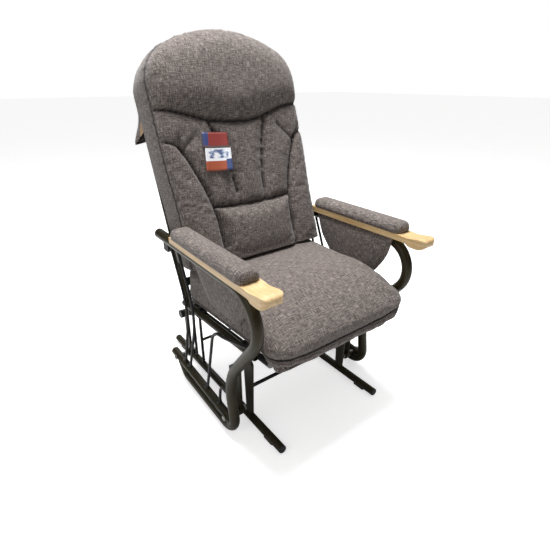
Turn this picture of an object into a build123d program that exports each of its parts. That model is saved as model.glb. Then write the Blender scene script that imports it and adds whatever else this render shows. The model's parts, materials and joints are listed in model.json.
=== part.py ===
from build123d import *
from math import cos, radians, sin, sqrt
import os

# Glider nursery chair. Millimetres, +Z up, the sitter faces -Y, so the sitter's left is +X.
# A base of two floor runners stands still. The chair hangs from it on four equal, parallel
# swing links, so it glides forwards and back without tipping.

# ---------------------------------------------------------------- overall sizes
half_depth = 406.0            # middle of the chair to the arm tips
side_x = 283.0                # middle plane to the centre of a side tube
arm_axis_z = 549.0            # floor to the centre of the arm tube
seat_top_z = 462.0            # floor to the top of the seat cushion
back_lean = 19.3              # degrees that the back leans from upright
back_height = 678.0           # height of the back cushion along its own lean

# ---------------------------------------------------------------- fits and clearances
bolt_clearance = 0.1          # radial, a bolt in a drilled hole
running_clearance = 0.05      # radial, a pivot bolt in its bearing
side_gap = 0.3                # between a link's eye and the sleeve or nut beside it
soft_gap = 1.0                # between a pad and the frame next to it

# ---------------------------------------------------------------- tubes and rods
side_tube_r = 16.0
rail_tube_r = 14.0
runner_r = 13.0
seat_rail_r = 10.5
cross_tube_r = 10.0
deck_tube_r = 9.5
hoop_r = 10.0
tube_wall = 2.0
rod_r = 4.5
base_rod_r = 5.0
crossbar_r = 6.0

# ---------------------------------------------------------------- side tube, seen from the side
run_z = 26.0                  # floor to the centre of the tube's lowest run
tube_past_clamp = 28.8        # the arm tube's rear end behind the hoop's leg
nose_y, nose_bend = -433.0, 90.0
knee_y, knee_z, knee_bend = -187.0, 225.0, 190.0
toe_y, toe_bend = -215.0, 50.0
heel_y, heel_bend = 116.0, 40.0
heel_rise = 8.0
tail_length = 38.0

# ---------------------------------------------------------------- bottom rail
rail_front_y = -200.0
rail_rear_y = 215.0
rail_rise = 25.0
tube_gap = 1.0                # between the bottom rail and the run beneath it
rail_front_z = run_z + side_tube_r + rail_tube_r + tube_gap
rail_slope = rail_rise / (rail_rear_y - rail_front_y)

# ---------------------------------------------------------------- swing links and pivots
link_length = 172.0
front_pivot_y = -168.0
rear_pivot_y = 178.0
link_inset, runner_inset = 44.0, 37.0
link_x = side_x - link_inset            # middle plane to a link's centre
runner_x = link_x - runner_inset        # middle plane to the centre of a floor runner
eye_r = 14.0
eye_length = 24.0
link_width = 22.0
link_thickness = 8.0
bolt_r = 5.0
bearing_r = 9.0
sleeve_r = 8.0
head_r, head_height = 9.0, 5.0
nut_across, nut_height = 17.0, 8.0
bolt_end = 1.5                # thread standing past the nut
cap_r, cap_wall = 14.5, 1.8
cap_ribs, cap_rib_depth = 4, 0.8
cap_rim, cap_clearance = 1.0, 0.3     # rib past the cap's side, nut in the cap's recess

# ---------------------------------------------------------------- base
runner_front_y = -338.0
runner_rear_y = 378.0
glide_height = 3.0
glide_length, glide_width = 46.0, 20.0
glide_inset, glide_corner = 62.0, 6.0
glide_lap = 0.35              # how far the glide climbs the runner, in runner radii
runner_z = glide_height + runner_r
upright_thickness = 8.0
upright_width = 46.0
upright_foot = 30.0
upright_above = 16.0          # plate above the pivot's centre
rod_spread = 28.0             # each rear rod from the rear pivot, along the runner
block_length, block_height, block_thickness, block_corner = 84.0, 40.0, 16.0, 12.0
crossbar_z = 132.0

# ---------------------------------------------------------------- seat
seat_rail_inset, deck_inset = 20.0, 27.0
seat_rail_x = side_x - seat_rail_inset
seat_rail_y0, seat_rail_z0 = -225.0, 351.0
seat_rail_slope = -0.07
seat_rail_front_y = -300.0
front_cross_y = -225.0
rear_cross_y = 30.0
deck_x = seat_rail_x - deck_inset
deck_rear_y = 92.0
deck_bend = 40.0
spring_count = 4
spring_margin = 0.9           # the outer springs to the deck's tubes, in pitches
spring_pitch = 2 * deck_x / (spring_count - 1 + 2 * spring_margin)
spring_wire_r = 1.75
spring_hook_gap = 2.0         # wire's end to the cross tube
spring_bend_gap = 0.6
spring_half_width = 20.0
spring_step = 15.0
clip_width, clip_length, clip_height = 13.0, 10.4, 9.1
clip_reach = 1.0              # the clip's middle past the cross tube's side
cushion_front_y = -377.0
cushion_rear_y = 104.0
skirt_bottom_z = 326.0
front_lip_z = 402.0           # where the cushion's top has rolled down at its front
skirt_depth = 40.0
plug_face, plug_shank = 5.0, 14.0
deck_front_y = cushion_front_y + skirt_depth + plug_face + 3 * soft_gap
cushion_corner = 24.0
roll_length, roll_dip = 210.0, 14.0   # the top's slow roll towards the front

# ---------------------------------------------------------------- back
back_rear_y = 157.9           # rear face of the back cushion at the seat's top
back_thickness = 135.0
back_inset, waist_inset = 21.0, 14.0
back_half_width = side_x - back_inset           # half of the back cushion's width at the shoulders
back_low_half_width = back_half_width - waist_inset
waist_above_arm, shoulder_rise = 88.0, 100.0    # both along the lean
headrest_start, headrest_bulge = 430.0, 28.0
headrest_inset, headrest_round = 42.0, 20.0
shoulder_arc, crown_turn = 130.0, 60.0
back_round = 30.0
hoop_gap = 1.5
hoop_bottom_z = 284.0
hoop_bend = 150.0
hood_wall = 2.5
hood_start = 400.0
slat_height, slat_thickness = 28.0, 3.0
clamp_height, clamp_length, clamp_corner = 44.0, 34.0, 5.0
clamp_lap = 6.4               # the clamp's top below the arm tube's centre
slat_levels = (-75.0, 90.0, 230.0, 370.0, 510.0)

# ---------------------------------------------------------------- arms
arm_thickness = 18.0
arm_half_width = 30.0
arm_offset = -4.0             # the wood sits this much inward of the side tube
arm_rear_y = 78.0
arm_corner = 16.0
nose_dip_back, nose_dip = 66.0, 2.0           # place behind the nose's tip, depth
nose_crest_back, nose_crest = 28.0, 3.0
nose_tip_drop = 9.0
lip_back, lip_drop = 14.0, 7.0
lip_run, lip_run_drop = 56.0, 6.0
lip_end = 108.0
pad_half_width = 32.5
pad_offset = -2.5
pad_height = 32.0
pad_rear_y = 66.0
pad_front_y = -316.0
pad_corner, pad_edge = 24.0, 15.0
panel_thickness = 14.0
panel_gap = 1.5               # between the side tube and the panel
panel_bottom_z = 404.0
panel_front_y = -292.0
panel_front_corners = ((-212.0, panel_bottom_z), (-284.0, 505.0))
panel_front_bends = (22.0, 60.0)
panel_top_gap = 0.5           # below the wooden board
panel_rear_y = 48.0
panel_rear_corners = ((22.0, 492.0), (-36.0, 428.0), (-62.0, panel_bottom_z))
panel_rear_bends = (20.0, 12.0, 20.0)
screw_r, screw_head_r = 2.5, 5.0
screw_bite, screw_inset = 12.0, 42.0
screw_head_height = 3.0

# ---------------------------------------------------------------- tag
tag_width, tag_height, tag_thickness, tag_corner = 100.0, 116.0, 1.0, 6.0
tag_x, tag_level = -98.0, 312.0

arm_top_z = arm_axis_z + side_tube_r + arm_thickness
arm_x = side_x + arm_offset
panel_x = side_x - side_tube_r - panel_gap - panel_thickness
cushion_half_width = panel_x - soft_gap
lean = radians(back_lean)
back_plane = Plane(
    origin=(0, back_rear_y, seat_top_z + soft_gap),
    x_dir=(1, 0, 0),
    z_dir=(0, -cos(lean), sin(lean)),
)
hoop_x = back_half_width - hood_wall - soft_gap / 2 - hoop_r

# The arch on top of the back: a shoulder arc each side, then a flatter arc over the crown
crown_angle = radians(crown_turn)
crown_arc = (back_half_width - shoulder_arc * (1 - cos(crown_angle))) / cos(crown_angle)
arch_start = back_height - shoulder_arc * sin(crown_angle) - crown_arc * (1 - sin(crown_angle))
back_waist = (arm_axis_z - seat_top_z) / cos(lean) + waist_above_arm
back_shoulder = back_waist + shoulder_rise

os.makedirs("parts", exist_ok=True)


def write(shape, name):
    """Label a finished piece and write it as one STEP file."""
    shape.label = name
    export_step(shape, f"parts/{name}.step")


def write_pair(shape, name):
    """Write the piece at +X as the left one, and its mirror image as the right one."""
    with BuildPart() as twin:
        mirror(shape, about=Plane.YZ)
    write(shape, f"{name}_left")
    write(twin.part, f"{name}_right")


def both_sides(shape):
    """The piece at +X together with its mirror image, as two separate solids."""
    with BuildPart() as pair:
        add(shape)
        mirror(shape, about=Plane.YZ)
    return pair.part


def bar(points, bends, radius):
    """A solid round bar along straight runs joined by tangent bends."""
    with BuildPart() as made:
        with BuildLine() as route:
            if bends:
                FilletPolyline(*points, radius=bends)
            else:
                Line(*points)
        with BuildSketch(Plane(route.line @ 0, z_dir=route.line % 0)):
            Circle(radius)
        sweep()
    return made.part


def tube(points, bends, radius):
    """A hollow round tube with the common wall, along the same kind of route."""
    with BuildPart() as made:
        add(bar(points, bends, radius))
        add(bar(points, bends, radius - tube_wall), mode=Mode.SUBTRACT)
    return made.part


def disc(x0, x1, y, z, radius):
    """A round bar along X from x0 to x1."""
    with BuildPart() as made:
        with BuildSketch(Plane.YZ.offset(x0)):
            with Locations((y, z)):
                Circle(radius)
        extrude(amount=x1 - x0)
    return made.part


def sleeve(x0, x1, y, z, outer, inner):
    """A ring along X from x0 to x1."""
    with BuildPart() as made:
        add(disc(x0, x1, y, z, outer))
        add(disc(x0, x1, y, z, inner), mode=Mode.SUBTRACT)
    return made.part


def plug(end, direction, radius):
    """A domed plastic plug that closes a tube, its shank pushed into the bore."""
    with BuildPart() as made:
        with BuildSketch(Plane(end, z_dir=direction)):
            Circle(radius)
        extrude(amount=plug_face)
        fillet(made.faces().sort_by(Axis(end, direction))[-1].edges(), plug_face * 0.8)
        with BuildSketch(Plane(end, z_dir=direction)):
            Circle(radius - tube_wall)
        extrude(amount=-plug_shank)
    return made.part


def rail_z(y):
    """Height of the bottom rail's centre at a place along it."""
    return rail_front_z + rail_slope * (y - rail_front_y)


def seat_rail_z(y):
    """Height of the seat rail's centre at a place along it."""
    return seat_rail_z0 + seat_rail_slope * (y - seat_rail_y0)


def back_point(x, level, depth):
    """A point on the leaning back: level is along the lean, depth is forward of the rear face."""
    return back_plane.from_local_coords(Vector(x, level, depth))


def hoop_y(z):
    """Place along Y of the hoop's leg at a height."""
    return back_point(0, 0, hoop_depth).Y + (z - back_point(0, 0, hoop_depth).Z) * sin(lean) / cos(lean)


# The arm tube ends just behind the clamp that ties it to the hoop's leg
hoop_depth = -(hoop_gap + hoop_r)
clamp_z = arm_axis_z - clamp_lap - clamp_height / 2
tube_rear_y = hoop_y(clamp_z) + tube_past_clamp

# The two pivots of one side: place along Y, lower height on the rail, upper height on the base
pivots = []
for pivot_y in (front_pivot_y, rear_pivot_y):
    lower_z = rail_z(pivot_y)
    pivots.append((pivot_y, lower_z, lower_z + link_length))

# ================================================================ chair frame
# Arm screws: two up through each arm tube into the wooden board
wood_low = arm_axis_z + side_tube_r
screw_low = arm_axis_z - side_tube_r
with BuildPart() as arm_screws:
    for y in (arm_rear_y - screw_inset, pad_front_y + 2 * screw_inset):
        with Locations((side_x, y, (screw_low + wood_low + screw_bite) / 2)):
            Cylinder(screw_r, wood_low + screw_bite - screw_low)
        with Locations((side_x, y, screw_low)):
            Cylinder(screw_head_r, screw_head_height)
write(both_sides(arm_screws.part), "arm_screws")

# Side tube: arm run, front bow, knee, toe and lowest run in one bent tube
side_route = [
    (side_x, tube_rear_y, arm_axis_z),
    (side_x, nose_y, arm_axis_z),
    (side_x, knee_y, knee_z),
    (side_x, toe_y, run_z),
    (side_x, heel_y, run_z + heel_rise),
    (side_x, heel_y + tail_length, rail_z(heel_y + tail_length)),
]
side_bends = [nose_bend, knee_bend, toe_bend, heel_bend]
side_outer = bar(side_route, side_bends, side_tube_r)
rail_route = [
    (side_x, rail_front_y, rail_z(rail_front_y)),
    (side_x, rail_rear_y, rail_z(rail_rear_y)),
]
rail_outer = bar(rail_route, [], rail_tube_r)

# The rear end of the lowest run turns up and is coped to the underside of the bottom rail
with BuildPart() as rail_rear_part:
    with BuildSketch(Plane.YZ.offset(side_x - 2 * rail_tube_r)):
        with Locations((heel_y + tail_length, rail_z(heel_y))):
            Rectangle(6 * side_tube_r, 6 * side_tube_r)
    extrude(amount=4 * rail_tube_r)
    add(rail_outer, mode=Mode.INTERSECT)
with BuildPart() as side_tube:
    add(tube(side_route, side_bends, side_tube_r))
    add(rail_rear_part.part, mode=Mode.SUBTRACT)
    add(arm_screws.part, mode=Mode.SUBTRACT)
write_pair(side_tube.part, "side_tube")

# Bottom rail: coped to the side tube in front, drilled for the two lower pivot bolts
with BuildPart() as bottom_rail:
    add(tube(rail_route, [], rail_tube_r))
    add(side_outer, mode=Mode.SUBTRACT)
    for pivot_y, lower_z, upper_z in pivots:
        add(disc(side_x - side_tube_r, side_x + side_tube_r, pivot_y, lower_z,
                 bolt_r + bolt_clearance), mode=Mode.SUBTRACT)
write_pair(bottom_rail.part, "bottom_rail")

# Back hoop: one bent tube inside the back cushion's hood, its two ends open at the seat
hoop_low = (hoop_bottom_z - back_plane.origin.Z - hoop_depth * sin(lean)) / cos(lean)
hoop_top = arch_start + shoulder_arc - hood_wall
hoop_route = [
    back_point(hoop_x, hoop_low, hoop_depth),
    back_point(hoop_x, hoop_top, hoop_depth),
    back_point(-hoop_x, hoop_top, hoop_depth),
    back_point(-hoop_x, hoop_low, hoop_depth),
]
hoop_outer = bar(hoop_route, hoop_bend, hoop_r)
with BuildPart() as back_hoop:
    add(tube(hoop_route, hoop_bend, hoop_r))
write(back_hoop.part, "back_hoop")

# Back slats: five flat bars welded between the hoop's legs
with BuildPart() as back_slats:
    for level in slat_levels:
        with BuildSketch(back_plane.offset(hoop_depth - slat_thickness / 2)):
            with Locations((0, level)):
                Rectangle(2 * hoop_x, slat_height)
        extrude(amount=slat_thickness)
    add(hoop_outer, mode=Mode.SUBTRACT)
write(back_slats.part, "back_slats")

# Seat rail: from the hoop's leg forward to the side tube, coped at both ends
seat_rail_rear_y = hoop_y(seat_rail_z(hoop_y(seat_rail_z0)))
seat_rail_route = [
    (seat_rail_x, seat_rail_front_y, seat_rail_z(seat_rail_front_y)),
    (seat_rail_x, seat_rail_rear_y, seat_rail_z(seat_rail_rear_y)),
]
seat_rail_outer = bar(seat_rail_route, [], seat_rail_r)
with BuildPart() as seat_rail:
    add(tube(seat_rail_route, [], seat_rail_r))
    add(side_outer, mode=Mode.SUBTRACT)
    add(hoop_outer, mode=Mode.SUBTRACT)
write_pair(seat_rail.part, "seat_rail")

# Cross tubes: front and rear under the seat, and one across the foot of the back
hoop_cross_z = hoop_bottom_z + 2 * hoop_r
seat_rails_outer = both_sides(seat_rail_outer)
cross_tubes = {
    "front_cross_tube": (seat_rail_x, front_cross_y, seat_rail_z(front_cross_y), seat_rails_outer),
    "rear_cross_tube": (seat_rail_x, rear_cross_y, seat_rail_z(rear_cross_y), seat_rails_outer),
    "back_cross_tube": (hoop_x, hoop_y(hoop_cross_z), hoop_cross_z, hoop_outer),
}
for name, (reach, y, z, joined) in cross_tubes.items():
    with BuildPart() as cross_tube:
        add(sleeve(-reach, reach, y, z, cross_tube_r, cross_tube_r - tube_wall))
        add(joined, mode=Mode.SUBTRACT)
    write(cross_tube.part, name)


# Seat deck: a black U of tube hung under the two cross tubes, open at its front ends
def deck_z(y):
    """Height of the deck tube's centre, just under the cross tubes."""
    return seat_rail_z(y) - (cross_tube_r + deck_tube_r) * sqrt(1 + seat_rail_slope**2)


deck_route = [
    (deck_x, deck_front_y, deck_z(deck_front_y)),
    (deck_x, deck_rear_y, deck_z(deck_rear_y)),
    (-deck_x, deck_rear_y, deck_z(deck_rear_y)),
    (-deck_x, deck_front_y, deck_z(deck_front_y)),
]
with BuildPart() as seat_deck:
    add(tube(deck_route, deck_bend, deck_tube_r))
write(seat_deck.part, "seat_deck")

# Seat springs: flat zigzag wires from the front cross tube to the rear one
spring_plane = Plane(
    origin=(0, front_cross_y, seat_rail_z(front_cross_y)),
    x_dir=(1, 0, 0),
    z_dir=(0, -seat_rail_slope, 1),
)
spring_end = cross_tube_r + spring_hook_gap
spring_span = (rear_cross_y - front_cross_y) * sqrt(1 + seat_rail_slope**2) - 2 * spring_end
spring_turns = int(spring_span // spring_step) - 1
spring_lead = (spring_span - spring_turns * spring_step) / 2
spring_columns = [spring_pitch * (i - (spring_count - 1) / 2) for i in range(spring_count)]


def spring_points(column):
    """The corners of one zigzag spring in the spring plane."""
    points = [(column, spring_end)]
    side = 1
    for turn in range(spring_turns + 1):
        v = spring_end + spring_lead + turn * spring_step
        previous = column if turn == 0 else column - side * spring_half_width
        following = column if turn == spring_turns else column + side * spring_half_width
        points.append((previous, v))
        points.append((following, v))
        side = -side
    points.append((column, spring_end + spring_span))
    return [spring_plane.from_local_coords(Vector(u, v, 0)) for u, v in points]


spring_solids = [bar(spring_points(column), spring_step / 2 - spring_bend_gap, spring_wire_r)
                 for column in spring_columns]
with BuildPart() as seat_springs:
    for solid in spring_solids:
        add(solid)
write(seat_springs.part, "seat_springs")

# Spring clips: small plastic blocks that hold each wire's end against its cross tube
with BuildPart() as spring_clips:
    for y in (front_cross_y, rear_cross_y):
        inward = cross_tube_r if y == front_cross_y else -cross_tube_r
        clip_y = y + inward * (1 + clip_reach / cross_tube_r)
        for column in spring_columns:
            with Locations((column, clip_y, seat_rail_z(y + inward))):
                Box(clip_width, clip_length, clip_height)
    for y in (front_cross_y, rear_cross_y):
        add(disc(-seat_rail_x, seat_rail_x, y, seat_rail_z(y), cross_tube_r), mode=Mode.SUBTRACT)
    for solid in spring_solids:
        add(solid, mode=Mode.SUBTRACT)
write(spring_clips.part, "spring_clips")

# Back clamps: black plastic blocks that tie the hoop's legs to the arm tubes
with BuildPart() as back_clamp:
    with BuildSketch(Plane.YZ.offset(back_low_half_width + soft_gap)):
        with Locations((hoop_y(clamp_z) - hoop_r, clamp_z)):
            RectangleRounded(clamp_length, clamp_height, clamp_corner)
    extrude(amount=side_x - back_low_half_width - soft_gap)
    add(hoop_outer, mode=Mode.SUBTRACT)
    add(side_outer, mode=Mode.SUBTRACT)
    clamp_body = back_clamp.solids().sort_by(SortBy.VOLUME)[-1]
write(both_sides(clamp_body), "back_clamps")


# ---------------------------------------------------------------- decorative rods
def side_rod(points, bends):
    """A thin rod in the side tube's plane, coped to the side tube and the bottom rail."""
    with BuildPart() as made:
        add(bar([(side_x, y, z) for y, z in points], bends, rod_r))
        add(side_outer, mode=Mode.SUBTRACT)
        add(rail_outer, mode=Mode.SUBTRACT)
        body = made.solids().sort_by(SortBy.VOLUME)[-1]
    return body


# Spindles: two bowed rods between the arm tube and the bottom rail
spindle_feet = (128.0, 92.0)
spindle_waists = ((52.0, 329.0), (1.0, 335.0))
spindle_heads = (142.0, 90.0)
spindle_bend = 245.0
spindles = []
for foot_y, (waist_y, waist_z), head_y in zip(spindle_feet, spindle_waists, spindle_heads):
    spindle = side_rod([(foot_y, rail_z(foot_y)), (waist_y, waist_z), (head_y, arm_axis_z)], spindle_bend)
    spindles.append(spindle)
with BuildPart() as spindle_pair:
    for spindle in spindles:
        add(spindle)
write_pair(spindle_pair.part, "spindles")

# Scroll rods: a long one and a short one that rise from the rail and curl into the side tube
long_scroll_foot_y, short_scroll_foot_y = -34.0, -116.0
scroll_knee = (-112.0, 352.0)
scroll_shoulder = (-160.0, 352.0)
scroll_tip = (-300.0, 392.0)
scroll_bends = [60.0, 60.0]
long_scroll = side_rod(
    [(long_scroll_foot_y, rail_z(long_scroll_foot_y)), scroll_knee, scroll_shoulder, scroll_tip],
    scroll_bends,
)
write_pair(long_scroll, "long_scroll")
short_scroll_knee, short_scroll_tip = (-130.0, 150.0), (-212.0, 176.0)
short_scroll_bend = 36.0
short_scroll = side_rod(
    [(short_scroll_foot_y, rail_z(short_scroll_foot_y)), short_scroll_knee, short_scroll_tip],
    [short_scroll_bend],
)
write_pair(short_scroll, "short_scroll")

# Rod collars: a small foot round each rod where it stands on the bottom rail
collar_r, collar_height, collar_seat = 8.0, 9.0, 3.0
with BuildPart() as collars:
    for foot_y in (*spindle_feet, long_scroll_foot_y, short_scroll_foot_y):
        with Locations((side_x, foot_y, rail_z(foot_y) + rail_tube_r + (collar_height - collar_seat) / 2)):
            Cylinder(collar_r, collar_height + collar_seat)
    add(rail_outer, mode=Mode.SUBTRACT)
    for rod in (*spindles, long_scroll, short_scroll):
        add(rod, mode=Mode.SUBTRACT)
write(both_sides(collars.part), "rod_collars")

# ================================================================ base
# Runners: two straight floor tubes
with BuildPart() as runner:
    add(tube([(runner_x, runner_front_y, runner_z), (runner_x, runner_rear_y, runner_z)], [], runner_r))
write_pair(runner.part, "runner")
runner_outer = bar([(runner_x, runner_front_y, runner_z), (runner_x, runner_rear_y, runner_z)], [], runner_r)

# Floor glides: a saddle pad under each end of each runner
with BuildPart() as glides:
    for y in (runner_front_y + glide_inset, runner_rear_y - glide_inset):
        with Locations((runner_x, y, runner_z / 2)):
            Box(glide_width, glide_length, runner_z)
    fillet(glides.edges().filter_by(Axis.Z), glide_corner)
    add(runner_outer, mode=Mode.SUBTRACT)
    with Locations((runner_x, 0, runner_z)):
        Box(4 * runner_r, 4 * half_depth, 2 * runner_r * (1 - glide_lap), mode=Mode.SUBTRACT)
write(both_sides(glides.part), "floor_glides")

# Front uprights: a steel plate on each runner that carries the upper front pivot
front_top_z = pivots[0][2]
rear_top_z = pivots[1][2]
with BuildPart() as front_upright:
    with BuildSketch(Plane.YZ.offset(runner_x - upright_thickness / 2)):
        with BuildLine():
            Polyline(
                (front_pivot_y + upright_foot / 2, runner_z),
                (front_pivot_y - upright_foot / 2, runner_z),
                (front_pivot_y - upright_width / 2, front_top_z),
                (front_pivot_y - upright_width / 4, front_top_z + upright_above),
                (front_pivot_y + upright_width / 4, front_top_z + upright_above),
                (front_pivot_y + upright_width / 2, front_top_z),
                close=True,
            )
        make_face()
    extrude(amount=upright_thickness)
    fillet(front_upright.edges().filter_by(Axis.X).group_by(Axis.Z)[-1], upright_width / 5)
    add(runner_outer, mode=Mode.SUBTRACT)
    add(disc(runner_x - upright_width, runner_x + upright_width, front_pivot_y, front_top_z,
             bolt_r + bolt_clearance), mode=Mode.SUBTRACT)
write_pair(front_upright.part, "front_upright")

# Rear pivot blocks: black blocks on top of the rear rods
with BuildPart() as rear_block:
    with BuildSketch(Plane.YZ.offset(runner_x - block_thickness / 2)):
        with Locations((rear_pivot_y, rear_top_z)):
            RectangleRounded(block_length, block_height, block_corner)
    extrude(amount=block_thickness)
    add(disc(runner_x - block_length, runner_x + block_length, rear_pivot_y, rear_top_z,
             bolt_r + bolt_clearance), mode=Mode.SUBTRACT)
write(both_sides(rear_block.part), "rear_pivot_blocks")

# Rear uprights: two thin rods from each runner up to the block
with BuildPart() as rear_upright:
    for y in (rear_pivot_y - rod_spread, rear_pivot_y + rod_spread):
        add(bar([(runner_x, y, runner_z), (runner_x, y, rear_top_z - block_height / 2)], [], base_rod_r))
    add(runner_outer, mode=Mode.SUBTRACT)
write_pair(rear_upright.part, "rear_upright")
rear_rods = both_sides(rear_upright.part)

# Crossbars: the front one between the plates, the rear one between the front pair of rods
with BuildPart() as front_crossbar:
    add(disc(-(runner_x - upright_thickness / 2), runner_x - upright_thickness / 2,
             front_pivot_y, crossbar_z, crossbar_r))
write(front_crossbar.part, "front_crossbar")
with BuildPart() as rear_crossbar:
    add(disc(-runner_x, runner_x, rear_pivot_y - rod_spread, crossbar_z, base_rod_r))
    add(rear_rods, mode=Mode.SUBTRACT)
write(rear_crossbar.part, "rear_crossbar")

# Runner end caps: domed plastic plugs
with BuildPart() as runner_caps:
    add(plug(Vector(runner_x, runner_front_y, runner_z), Vector(0, -1, 0), runner_r))
    add(plug(Vector(runner_x, runner_rear_y, runner_z), Vector(0, 1, 0), runner_r))
write(both_sides(runner_caps.part), "runner_end_caps")

# ================================================================ swing links
# Stations along X, from the middle outwards, shared by every pivot
link_inner = link_x - eye_length / 2
link_outer = link_x + eye_length / 2


def swing_link(pivot_y, lower_z, upper_z):
    """A flat bar with a bearing eye at each end."""
    with BuildPart() as made:
        with Locations((link_x, pivot_y, (lower_z + upper_z) / 2)):
            Box(link_thickness, link_width, upper_z - lower_z)
        for z in (lower_z, upper_z):
            add(disc(link_inner + side_gap, link_outer - side_gap, pivot_y, z, eye_r))
        for z in (lower_z, upper_z):
            add(disc(link_inner, link_outer, pivot_y, z, bearing_r), mode=Mode.SUBTRACT)
    return made.part


def link_bearings(pivot_y, lower_z, upper_z):
    """The two bearing bushes of one link."""
    with BuildPart() as made:
        for z in (lower_z, upper_z):
            add(sleeve(link_inner + side_gap, link_outer - side_gap, pivot_y, z,
                       bearing_r, bolt_r + running_clearance))
    return made.part


for name, (pivot_y, lower_z, upper_z) in zip(("front", "rear"), pivots):
    write_pair(swing_link(pivot_y, lower_z, upper_z), f"swing_link_{name}")
    write_pair(link_bearings(pivot_y, lower_z, upper_z), f"link_bearings_{name}")


# Pivot hardware: bolt, sleeve and nut for each of the four upper and four lower pivots
def pivot_bolt(y, z, head_x, end_x):
    """A round-headed bolt along X, its head's seat at head_x and its point at end_x."""
    outward = 1 if end_x > head_x else -1
    with BuildPart() as made:
        add(disc(min(head_x, end_x), max(head_x, end_x), y, z, bolt_r))
        add(disc(min(head_x, head_x - outward * head_height), max(head_x, head_x - outward * head_height),
                 y, z, head_r))
        fillet(made.faces().sort_by(Axis.X)[0 if outward > 0 else -1].edges(), head_height * 0.7)
    return made.part


def pivot_nut(y, z, x0, x1):
    """A hexagon nut along X."""
    with BuildPart() as made:
        with BuildSketch(Plane.YZ.offset(x0)):
            with Locations((y, z)):
                RegularPolygon(nut_across / 2, 6, major_radius=False)
                Circle(bolt_r, mode=Mode.SUBTRACT)
        extrude(amount=x1 - x0)
    return made.part


upper_nut_x = link_outer + nut_height
lower_nut_x = link_inner - nut_height
with BuildPart() as upper_bolts:
    for (pivot_y, lower_z, upper_z), half in zip(pivots, (upright_thickness / 2, block_thickness / 2)):
        add(pivot_bolt(pivot_y, upper_z, runner_x - half, upper_nut_x + bolt_end))
write(both_sides(upper_bolts.part), "upper_pivot_bolts")
with BuildPart() as upper_sleeves:
    for (pivot_y, lower_z, upper_z), half in zip(pivots, (upright_thickness / 2, block_thickness / 2)):
        add(sleeve(runner_x + half, link_inner, pivot_y, upper_z, sleeve_r, bolt_r + bolt_clearance))
write(both_sides(upper_sleeves.part), "upper_pivot_sleeves")
with BuildPart() as upper_nuts:
    for pivot_y, lower_z, upper_z in pivots:
        add(pivot_nut(pivot_y, upper_z, link_outer, upper_nut_x))
write(both_sides(upper_nuts.part), "upper_pivot_nuts")

with BuildPart() as lower_bolts:
    for pivot_y, lower_z, upper_z in pivots:
        add(pivot_bolt(pivot_y, lower_z, side_x + rail_tube_r, lower_nut_x - bolt_end))
write(both_sides(lower_bolts.part), "lower_pivot_bolts")
with BuildPart() as lower_sleeves:
    for pivot_y, lower_z, upper_z in pivots:
        add(sleeve(link_outer, side_x, pivot_y, lower_z, sleeve_r, bolt_r + bolt_clearance))
    add(rail_outer, mode=Mode.SUBTRACT)
write(both_sides(lower_sleeves.part), "lower_pivot_sleeves")
with BuildPart() as lower_nuts:
    for pivot_y, lower_z, upper_z in pivots:
        add(pivot_nut(pivot_y, lower_z, lower_nut_x, link_inner))
write(both_sides(lower_nuts.part), "lower_pivot_nuts")


# Pivot caps: ribbed plastic covers over the upper nuts
def pivot_cap(y, z):
    """A ribbed round cap along X with a recess that clears the nut and the bolt's end."""
    cap_end = upper_nut_x + bolt_end + cap_wall
    with BuildPart() as made:
        add(disc(link_outer, cap_end, y, z, cap_r))
        rib_pitch = (cap_end - link_outer) / (cap_ribs + 1)
        for rib in range(1, cap_ribs + 1):
            x = link_outer + rib * rib_pitch
            add(sleeve(x - rib_pitch / 4, x + rib_pitch / 4, y, z, cap_r + cap_rim, cap_r - cap_rib_depth),
                mode=Mode.SUBTRACT)
        add(disc(link_outer, upper_nut_x + bolt_end + cap_clearance, y, z,
                 nut_across / sqrt(3) + cap_clearance), mode=Mode.SUBTRACT)
    return made.part


with BuildPart() as pivot_caps:
    for pivot_y, lower_z, upper_z in pivots:
        add(pivot_cap(pivot_y, upper_z))
write(both_sides(pivot_caps.part), "pivot_caps")

# Tube end caps on the chair: arm tubes, bottom rails, deck tube and hoop
hoop_foot = back_point(hoop_x, hoop_low, hoop_depth)
deck_forward = Vector(0, -1, -seat_rail_slope).normalized()
rail_back = Vector(0, 1, rail_slope).normalized()
with BuildPart() as frame_caps:
    add(plug(Vector(side_x, tube_rear_y, arm_axis_z), Vector(0, 1, 0), side_tube_r))
    add(plug(Vector(side_x, rail_rear_y, rail_z(rail_rear_y)), rail_back, rail_tube_r))
    add(plug(Vector(deck_x, deck_front_y, deck_z(deck_front_y)), deck_forward, deck_tube_r))
    add(plug(hoop_foot, Vector(0, -sin(lean), -cos(lean)), hoop_r))
write(both_sides(frame_caps.part), "tube_end_caps")

# ================================================================ cushions
# Seat cushion: a thick pad on the deck, with a skirt that hangs in front of the deck
cushion_under = soft_gap + cross_tube_r * sqrt(1 + seat_rail_slope**2)
with BuildPart() as seat_cushion:
    with BuildSketch(Plane.YZ.offset(-cushion_half_width)):
        with BuildLine():
            front_roll = Spline(
                (cushion_front_y, front_lip_z),
                (cushion_front_y + roll_length / 2, seat_top_z - roll_dip),
                (cushion_front_y + roll_length, seat_top_z),
                tangents=((0, 1), (1, 0)),
            )
            Polyline(
                front_roll @ 1,
                (cushion_rear_y, seat_top_z),
                (cushion_rear_y, seat_rail_z(cushion_rear_y) + cushion_under),
                (cushion_front_y + skirt_depth, seat_rail_z(cushion_front_y) + cushion_under),
                (cushion_front_y + skirt_depth, skirt_bottom_z),
                (cushion_front_y, skirt_bottom_z),
                front_roll @ 0,
            )
        make_face()
    extrude(amount=2 * cushion_half_width)
    fillet(seat_cushion.edges().filter_by(Axis.Z).group_by(Axis.Y)[0], cushion_corner)
write(seat_cushion.part, "seat_cushion")

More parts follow.
